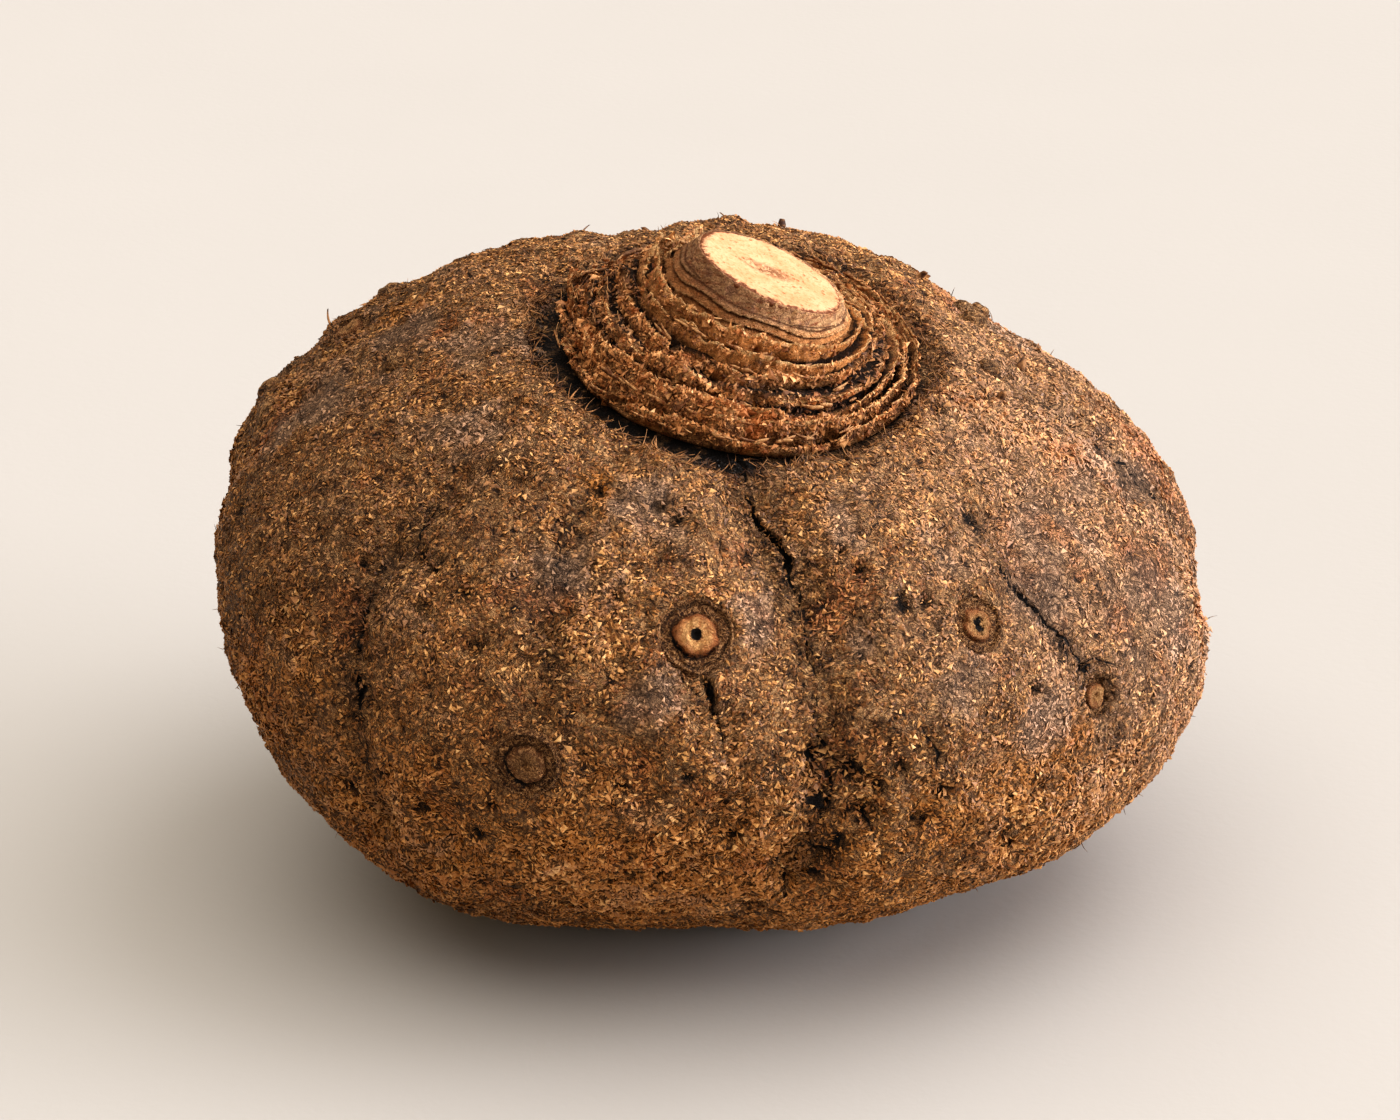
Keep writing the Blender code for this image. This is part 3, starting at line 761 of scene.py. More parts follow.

# %% [markdown]
# ## The colour of the skin
#
# Close up, dry cork is a crowd of small tan scales with curved creases between them and pale
# threads on them. Noise that is folded at its middle value gives thin wandering lines, and these
# serve for both: wide ones, dark, as painted shade in the creases, and fine ones, pale, as threads
# that are partly painted glints. The left side gets painted shade and the right side painted
# light, with grey, rusty and golden patches on both.

# %% Colours
DARK = colour(48, 26, 12)
BROWN = colour(156, 107, 64)
LIGHT = colour(236, 184, 130)
GREY = colour(200, 162, 134)
RUST = colour(178, 100, 56)
GOLD = colour(186, 120, 46)
DEEP = colour(18, 7, 2)
# Painted shade for the side turned from the side lamp, then painted light for the side facing it
PAINTED_SHADE_BROWN = colour(84, 52, 18)
PAINTED_LIGHT_TAN = colour(226, 178, 142)


def threads(place, scale, width, seed):
    """1 on thin wandering lines and 0 between them: noise folded at its middle value."""
    moved = place.node("ShaderNodeVectorMath", {"operation": "ADD"}, {0: place, 1: (seed, 0.0, 0.0)})
    folded = (noise(moved, scale, 3.0, 0.55, 1.4) - 0.5).calc("ABSOLUTE")
    return folded.between(width, 0.0)


def patches(start, place, base):
    """Painted light on the right side and painted shade on the left, the grey, rusty and golden
    patches that the mesh has, and a finer mottle."""
    mottle = noise(place, 75.0, 6.0, 0.66, 0.7)
    side = value_of(start, "side")
    # Painted light where the skin faces the side lamp
    base = blend(base, PAINTED_LIGHT_TAN, side.between(0.55, 1.00) * 0.30)
    base = blend(base, GREY, value_of(start, "grey") * 0.70)
    base = blend(base, RUST, value_of(start, "rust") * 0.32)
    base = blend(base, GOLD, value_of(start, "gold") * 0.50)
    base = blend(base, RUST, mottle.between(0.54, 0.68) * 0.28)
    # Painted shade where the skin turns away from the side lamp
    base = blend(base, PAINTED_SHADE_BROWN, side.between(-0.05, -0.85) * 0.46)
    return blend(base, GREY, mottle.between(0.46, 0.32) * 0.26)


def yam_skin_material():
    """Brown scales with pale threads, partly painted glints, then the patches, painted shade in the
    creases and gaps between the scales, and painted shade in the mesh's cracks, pits and hollows."""
    made, start, place = new_material("yam_skin_fine")
    cloud = noise(place, 240.0, 5.0, 0.62, 0.5)
    grain = noise(place, 1500.0, 4.0, 0.65, 0.9)
    # Pale threads, partly painted glints on raised lines
    thread = threads(place, 620.0, 0.050, 7.0)
    crease = (threads(place, 330.0, 0.062, 0.0) * 0.85 + threads(place, 640.0, 0.070, 3.0) * 0.65).clamp()
    # Gaps between the scales, darkened below as painted shade
    gaps = noise(place, 700.0, 3.0, 0.6, 0.8).between(0.46, 0.34)
    tone = (grain * 0.55 + cloud * 0.65 + thread * 0.22 - 0.12 - gaps * 0.30).clamp()
    base = blend(DARK, BROWN, tone.between(0.14, 0.36))
    base = blend(base, LIGHT, tone.between(0.36, 0.70) * 0.95)
    base = patches(start, place, base)
    # Painted shade in the creases between the scales
    base = blend(base, DARK, crease * 0.80)
    across = value_of(start, "crack").calc("ABSOLUTE")
    crack = (value_of(start, "crack_half") * 1.15 - across).between(0.0, 0.30)
    # Painted shade in the cracks, pits, furrows, saucer and gaps, and darker where the cloud noise is low
    shade = (crack + value_of(start, "pit") * 0.95 + value_of(start, "furrow") * 0.44
             + value_of(start, "saucer") * 0.70 + (0.46 - cloud) * 2.2 + gaps * 0.50).clamp()
    base = blend(base, DEEP, shade)
    height = thread * 0.4 + grain * 0.4 + cloud * 1.1 - crack * 0.8 - gaps * 0.5 - crease * 0.75
    return finish(made, base, (grain * 0.3 + 0.52), height, 0.0018, 1.0, 0.25)


skin_material = yam_skin_material()
dress(tuber_skin_piece, skin_material)
print("skin material has", len(skin_material.node_tree.nodes), "nodes")

# %% [markdown]
# ## Dry flakes
#
# The skin's look from a step away comes from a mat of short curled flakes. Hair particles
# would be lost in an export, so each flake is a real sliver: two pointed ends and, between
# them, a middle that is raised and bent to one side, with four faces in all. Neighbours lie
# in nearly the same direction, which swirls from place to place.

# %% Slivers on the skin
FLAKE_SHEETS = 4
FLAKES_PER_SHEET = 34000
FLAKE_LENGTHS = (0.0008, 0.0018)
FLAKE_WIDTHS = (0.00020, 0.00046)
FLAKE_LIFTS = (0.00006, 0.00046)
FLAKE_BENDS = (-0.44, 0.44)
FLAKE_SUNK = 0.00010
FLAKE_FACES = np.array([[0, 1, 2], [1, 3, 2], [0, 2, 3], [0, 3, 1]])
# How near each corner is to the raised tip: painted highlight toward it, painted shade at the foot
FLAKE_TIPS = (0.0, 0.8, 1.0, 0.5)


def grid_samples(grid, facing, count, chance, seed):
    """Random places on a grid whose columns run round, by area times chance: positions,
    normals, the grid cell each lies in, and the draw that goes on from there."""
    draw = np.random.default_rng(seed)
    corner = grid[:-1]
    down = grid[1:] - corner
    right = np.roll(grid, -1, axis=1)[:-1] - corner
    area = np.linalg.norm(np.cross(right, down), axis=-1) * chance[:-1]
    cell = draw.choice(area.size, count, p=(area / area.sum()).ravel())
    i, j = np.divmod(cell, grid.shape[1])
    s, t = draw.random(count)[:, None], draw.random(count)[:, None]
    return corner[i, j] + s * right[i, j] + t * down[i, j], facing[i, j], (i, j), draw


def slivers(place, facing, along, length, width, lift, bend):
    """Four corners of each flake: its two pointed ends, and between them a raised and bent
    middle with a left and a right edge. The second end is lifted with the bend."""
    wide = np.cross(facing, along)
    middle = place + bend * length * wide + lift * facing
    return np.stack([
        place - 0.5 * length * along - FLAKE_SUNK * facing,
        middle - 0.5 * width * wide,
        middle + 0.5 * width * wide + 0.25 * width * facing,
        place + 0.5 * length * along + (2.2 * np.abs(bend) * lift - FLAKE_SUNK) * facing], axis=1)


def lying(facing, toward, swirl):
    """Directions that lie in the skin, turned from toward by the swirl's angle."""
    return np.cos(swirl)[:, None] * toward + np.sin(swirl)[:, None] * np.cross(facing, toward)


def at_corners(values):
    """Each sliver's values at its four corners, with how near each corner is to the tip, which sets painted
    light near it and painted shade at the foot.
    """
    spread = {label: np.repeat(v[:, None], 4, axis=1) for label, v in values.items()}
    return {**spread, "tip": np.broadcast_to(FLAKE_TIPS, (len(values["tone"]), 4))}


def flake_chance():
    """Where flakes grow: thin in the saucer, none in scars or on the resting spot."""
    reach = crown_reach(skin_grid)[1]
    on_top = ray_grid @ unit(CROWN_UP) > 0.0
    bare = (on_top & (reach < 0.0365)) | (skin_grid[..., 2] < 0.0012)
    in_crack = np.abs(skin_values["crack"]) < 0.9 * skin_values["crack_half"]
    cover = 0.55 + 0.40 * lattice_noise(skin_grid, 0.009, 21) - 0.50 * skin_values["grey"]
    cover = cover + 0.25 * skin_values["coarse"]
    cover = cover * (1.0 - 0.9 * in_crack) * (1.0 - 0.97 * skin_values["dish"])
    cover = cover * (1.0 - 0.7 * skin_values["pit"])
    under = smooth_step(-0.9, -0.5, ray_grid[..., 2])
    return np.where(bare, 0.0, np.clip(cover, 0.05, 1.0) * (0.25 + 0.75 * under))


def make_flakes(index):
    """One sheet of slivers, with the values that colour them."""
    place, facing, cell, draw = grid_samples(skin_grid, skin_normals, FLAKES_PER_SHEET,
                                             flake_chance(), 100 + index)
    count = len(place)
    swirl = 5.0 * lattice_noise(place, 0.0075, 31) + 3.0 * lattice_noise(place, 0.0028, 32)
    swirl = swirl + draw.normal(0.0, 0.35, count)
    side = unit(np.cross(facing, (0.0, 0.0, 1.0)) + 1e-6)
    coarse = skin_values["coarse"][cell]
    big = draw.random(count) ** 5
    size = (0.85 + 0.20 * coarse) * (1.0 + 0.6 * big)
    length = (draw.uniform(*FLAKE_LENGTHS, count) * size)[:, None]
    width = (draw.uniform(*FLAKE_WIDTHS, count) * size)[:, None]
    rise = draw.random(count) ** 2 * (0.55 + 0.75 * coarse)
    lift = (FLAKE_LIFTS[0] + rise * (FLAKE_LIFTS[1] - FLAKE_LIFTS[0]))[:, None]
    bend = draw.uniform(*FLAKE_BENDS, count)[:, None]
    corners = slivers(place, facing, lying(facing, side, swirl), length, width, lift, bend)
    tone = 0.84 * draw.random(count) ** 1.3 + 0.08 * coarse + 0.12 * big
    tone = tone + 0.16 * lattice_noise(place, 0.004, 35)
    labels = ("furrow", "saucer", "side", "grey", "rust", "gold")
    return corners, at_corners({"tone": tone, **{label: skin_values[label][cell] for label in labels}})


def flake_material():
    """Brown to pale by each flake's own tone, a little paler to its raised tip, partly a painted
    highlight, and dark at its foot as painted shade, with the skin's patches and painted shade in the
    furrows and saucer."""
    made, start, place = new_material("yam_flakes")
    tone, tip = value_of(start, "tone"), value_of(start, "tip")
    base = tone.node("ShaderNodeValToRGB", {"stops": (
        (0.00, colour(62, 35, 15)), (0.28, colour(122, 81, 46)), (0.55, colour(174, 122, 75)),
        (0.80, colour(224, 170, 108)), (1.00, colour(252, 211, 150)))}, {"Fac": tone * 0.80 + tip * 0.14})
    base = patches(start, place, base)
    # Painted shade in the furrows and saucer and at each flake's foot
    shade = (value_of(start, "furrow") * 0.40 + value_of(start, "saucer") * 0.5
             + tip.between(0.6, 0.0) * 0.35).clamp()
    base = blend(base, DEEP, shade)
    return finish(made, base, 0.50, noise(place, 1500.0, 3.0, 0.6), 0.0002, 0.4, 0.35)


flakes_material = flake_material()
for index in range(FLAKE_SHEETS):
    corners, values = make_flakes(index)
    sheet = copies(f"flakes_{index + 1}", corners, FLAKE_FACES, values, False)
    dress(sheet, flakes_material)
print("flakes:", FLAKE_SHEETS * FLAKES_PER_SHEET)

# %% [markdown]
# ## Button scars
#
# Each scar is a small plug: a thin cork ring, a rough moat inside it and a worn button. It is
# a profile turned round the skin's normal, made uneven by noise, with its root well under the
# skin. The one in the middle of the front is fresh and pale with an open eye, one is only a
# ring, one has opened in a slit, and those at the back have nearly the colour of the skin.

# %% Turned profiles
SCAR_TURNS = 64
SCAR_ROWS = 28

# Share of the radius and height in millimetres, from the sunk root to the middle
SCAR_PROFILE = (
    (1.12, -2.0), (1.10, -0.7), (1.04, -0.05), (1.00, 0.28), (0.965, 0.30), (0.93, -0.15), (0.89, -0.42),
    (0.82, -0.25), (0.74, -0.28), (0.66, -0.36), (0.615, -0.65), (0.585, -0.40), (0.555, 0.30), (0.50, 0.60),
    (0.42, 0.66), (0.32, 0.60), (0.22, 0.56), (0.13, 0.46), (0.08, 0.05), (0.03, -0.15))
SCAR_RIPPLE = 0.00055
SLIT_SCAR = 2

# How fresh each scar in front is, how strongly its moat is darkened as painted shade and how open it is, and
# those at the back
SCAR_LOOKS = ((1.0, 1.0, 1.0), (0.12, 1.0, 0.0), (0.48, 0.10, 1.0), (0.50, 0.45, 0.0))
REAR_LOOK = (0.25, 0.6, 0.4)


def turned(frame_at, radii, heights, turns, ripple, seed):
    """A profile turned round a skin frame's normal; noise moves each point by up to ripple."""
    point, normal, tangent = frame_at
    other = np.cross(normal, tangent)
    angle = full_turn(turns)
    circle = np.cos(angle)[:, None] * tangent + np.sin(angle)[:, None] * other
    grid = point + radii[..., None] * circle[None] + heights[:, None, None] * normal
    shake = ripple * rough(grid, 0.0017, seed, 3)
    return grid + shake[..., None] * (0.8 * normal + 0.5 * circle[None])


def scar_pieces():
    """One closed body for each scar; its outline is a circle with a slow wobble, and the hole
    in its button is stretched upward into a slit."""
    made = []
    profile = np.array(SCAR_PROFILE)
    knots = np.linspace(0.0, 1.0, len(profile))
    share = np.linspace(0.0, 1.0, SCAR_ROWS)
    ring_share = np.interp(share, knots, profile[:, 0])[:, None]
    angle = full_turn(SCAR_TURNS)[None]
    for index, (ray, radius, button) in enumerate(scars):
        wobble = 1.0 + 0.06 * rough(circled(angle, 1.0, 5.0 * index), 0.9, 45 + index, 2)
        slit = 1.0 + (1.1 if index == SLIT_SCAR else 0.2) * np.abs(np.sin(angle)) * (ring_share < 0.25)
        radii = radius * ring_share * wobble * slit
        rises = 0.001 * np.interp(share, knots, profile[:, 1]) * np.where(share > 0.58, button / 0.0009, 1.0)
        grid = turned(skin_frame(ray), radii, rises, SCAR_TURNS, SCAR_RIPPLE, 40 + index)
        fresh, edged, opened = (SCAR_LOOKS + (REAR_LOOK,) * len(scars))[index]
        made.append(closed_grid(f"scar_{index + 1}", grid, {
            "fresh": fresh, "edged": edged, "opened": opened, "centre": ring_share,
            "arc": 0.5 + 0.5 * np.cos(angle - 0.7)}))
    return made


def scar_material():
    """Cork like the skin, tan on the button of a fresh scar, with painted shade in the moat, heavier
    on one side, where the scar is edged, and painted shade in the eye where it is open."""
    made, start, place = new_material("scar_cork")
    fresh = value_of(start, "fresh")
    grain = noise(place, 1300.0, 5.0, 0.68, 1.0)
    cloud = noise(place, 460.0, 5.0, 0.65, 0.8)
    thread = threads(place, 760.0, 0.07, 5.0)
    centre = value_of(start, "centre") + (cloud - 0.5) * 0.42 + (grain - 0.5) * 0.16
    skin = blend(DARK, BROWN, (grain * 0.6 + thread * 0.4).between(0.22, 0.50))
    skin = blend(skin, LIGHT, (grain * 0.5 + thread * 0.5).between(0.42, 0.90) * 0.8)
    uneven = (grain * 0.6 + cloud * 0.4).between(0.36, 0.60)
    tan = blend(colour(176, 108, 60), colour(252, 196, 130), uneven)
    tan = blend(tan, colour(156, 84, 36), centre.between(0.40, 0.62) * 0.8)
    base = blend(skin, tan, centre.between(0.61, 0.54) * fresh)
    base = blend(base, RUST, centre.between(0.70, 0.56) * centre.between(0.30, 0.50) * fresh * 0.45)
    inner = centre.between(0.70, 0.64) * centre.between(0.54, 0.60)
    outer = centre.between(0.965, 0.925) * centre.between(0.84, 0.90)
    # Painted shade in the moat inside the button and inside the rim, heavier on one arc
    dark = inner * (value_of(start, "arc") * 0.9 + 0.15) + outer * cloud.between(0.42, 0.56) * 0.6
    base = blend(base, DEEP, dark * value_of(start, "edged"))
    # Painted shade in the open eye
    hole = value_of(start, "centre") + (grain - 0.5) * 0.20
    base = blend(base, DEEP, hole.between(0.165, 0.12) * value_of(start, "opened"))
    return finish(made, base, grain * 0.25 + 0.6, grain + cloud + thread * 0.6, 0.0012, 1.0, 0.25)


scar_cork = scar_material()
for piece in scar_pieces():
    dress(piece, scar_cork)
print("scar triangles each:", 2 * SCAR_TURNS * SCAR_ROWS)

# %% [markdown]
# ## Knobs and root stubs
#
# The back of the crown carries low knobs, and a few dry roots broke off short. A knob is a
# turned dome that noise makes uneven. A root stub is a thin tapered tube along a bent line.

# %% Knobs
KNOB_TURNS, KNOB_ROWS = 22, 9


def knob_rings():
    """Every knob as its own closed dome: the radius falls as a quarter circle while the
    height rises. The first rows are its root under the skin."""
    rings = []
    rise = np.linspace(0.0, 1.0, KNOB_ROWS)
    for index, (ray, radius, height) in enumerate(knobs):
        radii = radius * np.concatenate([[1.25, 1.2], np.cos(0.5 * math.pi * rise[:-1]) ** 0.8])
        heights = np.concatenate([[-0.0016, -0.0004], height * np.sin(0.5 * math.pi * rise[:-1])])
        rings.append(turned(skin_frame(ray), radii[:, None], heights, KNOB_TURNS, 0.0003, 60 + index))
    return np.array(rings)


rings = knob_rings()
knob_mesh = copies("knobs", rings.reshape(len(rings), -1, 3), tube_faces(rings.shape[1], KNOB_TURNS))
dress(knob_mesh, skin_material)
print("knobs:", len(rings))

# %% Root stubs and loose fibres
STUB_TURNS, STUB_ROWS = 10, 12
FIBRES = 240
MOAT_FIBRES = 620
FIBRE_TURNS, FIBRE_ROWS = 3, 6
FIBRE_RADIUS = 0.00012
FIBRE_LENGTHS = (0.0012, 0.0032)
MOAT_LENGTHS = (0.0014, 0.0036)
STUB_SHOWS, STUB_BENDS = 0.6, 0.8

# Azimuth, elevation, length and bend of three thin roots that show against the light
LOOSE_ROOTS = ((-114.8, 27.2, 0.0034, 0.7), (172.0, 50.5, 0.0030, -0.6), (-150.5, 50.8, 0.0024, 0.9))
LOOSE_RADIUS = 0.0003


def bent_tubes(starts, normals_at, sideways, lengths, radii, curl, rows, turns, narrowing=0.75):
    """Tapered tubes: each middle line leaves along its normal and bends sideways with the
    square of the way along it; a circle of falling radius is carried along it."""
    share = np.linspace(-0.12, 1.0, rows)
    along = lengths[:, None] * share[None]
    bend = (curl * lengths)[:, None] * np.maximum(share, 0.0)[None] ** 2
    middle = (starts[:, None] + along[..., None] * normals_at[:, None] + bend[..., None] * sideways[:, None])
    other = np.cross(normals_at, sideways)
    angle = full_turn(turns)
    circle = np.cos(angle)[:, None, None] * sideways[None] + np.sin(angle)[:, None, None] * other[None]
    taper = radii[:, None] * (1.0 - narrowing * np.maximum(share, 0.0) ** 1.5)[None]
    return middle[:, :, None] + taper[:, :, None, None] * np.swapaxes(circle, 0, 1)[:, None]


def stub_tubes():
    """The seeded root stubs and the loose roots of the far rim, as tubes of ten sides."""
    frames = [skin_frame(ray) for ray, _, _ in stubs]
    frames += [skin_frame(direction(azimuth, elevation)) for azimuth, elevation, _, _ in LOOSE_ROOTS]
    points, facing, side = (np.array(v) for v in zip(*frames))
    slants = np.array([STUB_BENDS * slant for _, slant, _ in stubs] + [root[3] for root in LOOSE_ROOTS])
    lengths = np.array([STUB_SHOWS * length for _, _, length in stubs] + [root[2] for root in LOOSE_ROOTS])
    radii = np.array([STUB_RADIUS] * len(stubs) + [LOOSE_RADIUS] * len(LOOSE_ROOTS))
    return bent_tubes(points, facing, side, lengths, radii, slants, STUB_ROWS, STUB_TURNS, 0.4)


def fibre_tubes():
    """Fine dry fibres that stand off the skin, most of them by the cracks."""
    near_crack = (skin_values["crack_half"] > 0.1) * np.exp(-(skin_values["crack"] / 1.5) ** 2)
    chance = np.where(skin_grid[..., 2] > 0.02, 0.08, 0.0) + 0.6 * near_crack
    place, facing, _, draw = grid_samples(skin_grid, skin_normals, FIBRES, chance, 77)
    loose = unit(facing + 0.8 * draw.normal(0.0, 1.0, place.shape))
    loose = np.where((loose * facing).sum(1, keepdims=True) < 0.1, facing, loose)
    side = unit(np.cross(loose, draw.normal(0.0, 1.0, place.shape)))
    lengths = draw.uniform(*FIBRE_LENGTHS, FIBRES)
    return bent_tubes(place, loose, side, lengths, np.full(FIBRES, FIBRE_RADIUS),
                      draw.uniform(-0.9, 0.9, FIBRES), FIBRE_ROWS, FIBRE_TURNS)


def moat_tubes():
    """Matted threads in the moat round the stem: their feet stand on the moat's outer wall,
    and they lean inward and round it."""
    reach = crown_reach(skin_grid)[1]
    chance = np.exp(-((reach - 0.0410) / 0.0022) ** 2) * (ray_grid @ unit(CROWN_UP) > 0.0)
    place, facing, _, draw = grid_samples(skin_grid, skin_normals, MOAT_FIBRES, chance, 78)
    inward = unit(CROWN + 0.004 * unit(CROWN_UP) - place)
    around = unit(np.cross(unit(CROWN_UP), inward))
    lean = unit(draw.uniform(0.0, 0.9, (MOAT_FIBRES, 1)) * inward + 0.22 * facing
                + draw.uniform(-1.2, 1.2, (MOAT_FIBRES, 1)) * around)
    side = unit(np.cross(lean, draw.normal(0.0, 1.0, place.shape)))
    lengths = draw.uniform(*MOAT_LENGTHS, MOAT_FIBRES)
    radii = draw.uniform(0.8, 1.9, MOAT_FIBRES) * FIBRE_RADIUS
    return bent_tubes(place, lean, side, lengths, radii,
                      draw.uniform(-0.9, 0.9, MOAT_FIBRES), FIBRE_ROWS, FIBRE_TURNS)


def fibre_material():
    """Dry brown root, paler and darker along its length."""
    made, start, place = new_material("dry_root")
    grain = noise(place, 420.0, 4.0, 0.6)
    base = blend(colour(58, 32, 14), colour(178, 128, 82), grain.between(0.38, 0.68))
    return finish(made, base, 0.70, grain, 0.0003, 0.5)


dry_root = fibre_material()
for label, make_tubes in (("root_stubs", stub_tubes), ("fibres", fibre_tubes), ("moat_fibres", moat_tubes)):
    tubes = make_tubes()
    count, rows, turns = tubes.shape[:3]
    piece = copies(label, tubes.reshape(count, -1, 3), tube_faces(rows, turns))
    dress(piece, dry_root)
    print(label, count)

# %% [markdown]
# ## The foot of the stem
#
# Scale leaves sat round the stem one inside the other, and each left a ragged papery lip.
# The foot is a grid of rows that climb a bending axis from the crown to the cut. For each
# ring the row goes up a ribbed wall, over a thin lip and down into a groove. Noise round the
# ring tears and sways the lip and wears some stretches away, and near the front left the two
# outer rings draw back from the saucer's wall. The stub above them narrows in small steps.

# %% Values of the stem foot
RINGS = 7
RING_RADIUS_OUT, RING_RADIUS_IN = 0.0359, 0.0205
RING_TOP_OUT, RING_TOP_IN = 0.0006, 0.0106
RING_LIP = 0.0008
RING_GROOVES = (0.0030, 0.0024, 0.0014, 0.0014, 0.0013, 0.0013, 0.0010)
STUB_FOOT_RADIUS = 0.0186
CUT_RADIUS = 0.0156
CUT_EDGE = 0.0004
CUT_OFFSET = (0.0068, 0.0004, 0.0142)
CUT_UP = (0.41, -0.01, 0.91)
GAP = 0.0003

STEM_COLUMNS = 324
ROWS_PER_RING = 14
STUB_WALL_ROWS = 34
STEP_HEIGHT, STEP_DEPTH, STEP_TOP = 0.0013, 0.0007, 0.0136
TEAR_HEIGHT = 0.0018
TEAR_RADIUS = 0.0009
OPEN_DEPTH = 0.0022
MOAT_WIDER = 0.0030
RING_SWAY = 0.0010
RING_LEAN = 0.0012
RIB_DEPTH, STREAK_DEPTH = 0.00065, 0.00016
WORN_RINGS, OPEN_RINGS, DRAWN_RINGS = 5, 3, 2
WORN_FILL = 0.0011
GROOVE_DEEPER = 0.0003

# Height, size, seed and layers of the crumbly relief
CRUMB_RELIEF = ((0.00120, 0.0038, 54, 3), (0.00065, 0.0015, 55, 2))


def stem_axis(height):
    """Centre, up, right and back of the bending axis at each height: the way between the
    crown's plane and the cut's plane."""
    length = math.dist((0, 0, 0), CUT_OFFSET)
    share = np.clip(height / length, 0.0, 1.0)[..., None]
    up = unit((1.0 - share) * unit(CROWN_UP) + share * unit(CUT_UP))
    centre = CROWN + share * np.array(CUT_OFFSET) + (height[..., None] - share * length) * up
    right = unit(np.array((1.0, 0.0, 0.0)) - up[..., :1] * up)
    return centre, up, right, np.cross(up, right)


def ring_size(ring):
    """Radius and height of a ring's lip, counted from the outermost ring, 0."""
    return (RING_RADIUS_OUT + (RING_RADIUS_IN - RING_RADIUS_OUT) * ring / (RINGS - 1),
            RING_TOP_OUT + (RING_TOP_IN - RING_TOP_OUT) * ring / (RINGS - 1))


def stem_rows():
    """Radius, height, lip share, groove share and ring number of every row."""
    radii, tops = zip(*(ring_size(k) for k in range(RINGS)))
    radii += (STUB_FOOT_RADIUS,)
    rows = [np.array([[0.30 * RING_RADIUS_OUT, GAP - SAUCER_DEPTH, 0, 0, 0],
                      [0.7 * RING_RADIUS_OUT, GAP - SAUCER_DEPTH, 0, 0, 0]])]
    for k in range(RINGS):
        start = GAP - SAUCER_DEPTH if k == 0 else tops[k - 1] - RING_GROOVES[k - 1]
        knots = np.array([
            [radii[k] - 0.1 * RING_LIP, start, 0.0, 1.0 if k else 0.3],
            [radii[k] + 0.2 * RING_LIP, 0.55 * start + 0.45 * tops[k], 0.05, 0.25],
            [radii[k], tops[k] - RING_LIP, 0.35, 0.0],
            [radii[k] - 0.2 * RING_LIP, tops[k], 1.0, 0.0],
            [radii[k] - 0.45 * RING_LIP, tops[k], 1.0, 0.0],
            [radii[k] - 0.70 * RING_LIP, tops[k] - 1.1 * RING_LIP, 0.3, 0.6],
            [0.45 * radii[k] + 0.55 * radii[k + 1], tops[k] - 0.85 * RING_GROOVES[k], 0.0, 0.9],
            [radii[k + 1] + 0.2 * RING_LIP, tops[k] - RING_GROOVES[k], 0.0, 1.0]])
        share = np.linspace(0.0, 1.0, ROWS_PER_RING, endpoint=False)
        ring = [np.interp(share, np.linspace(0.0, 1.0, len(knots)), knots[:, c]) for c in range(4)]
        rows.append(np.stack(ring + [np.full(ROWS_PER_RING, float(k))], axis=1))
    length = math.dist((0, 0, 0), CUT_OFFSET)
    low = tops[-1] - RING_GROOVES[-1]
    share = np.linspace(0.0, 1.0, STUB_WALL_ROWS)
    wall = np.stack([STUB_FOOT_RADIUS + (CUT_RADIUS - STUB_FOOT_RADIUS) * share ** 0.8,
                     low + (length - CUT_EDGE - low) * share,
                     0.0 * share, 1.0 - smooth_step(0.0, 0.25, share), 0.0 * share + RINGS], axis=1)
    rim = np.array([[CUT_RADIUS - 0.2 * CUT_EDGE, length - 0.2 * CUT_EDGE, 0, 0, RINGS],
                    [CUT_RADIUS - CUT_EDGE, length - 0.1 * CUT_EDGE, 0, 0, RINGS],
                    [CUT_RADIUS - 2.5 * CUT_EDGE, length - 1.5 * CUT_EDGE, 0, 0, RINGS],
                    [0.5 * CUT_RADIUS, length - 2.0 * CUT_EDGE, 0, 0, RINGS]])
    return np.concatenate(rows + [wall, rim])


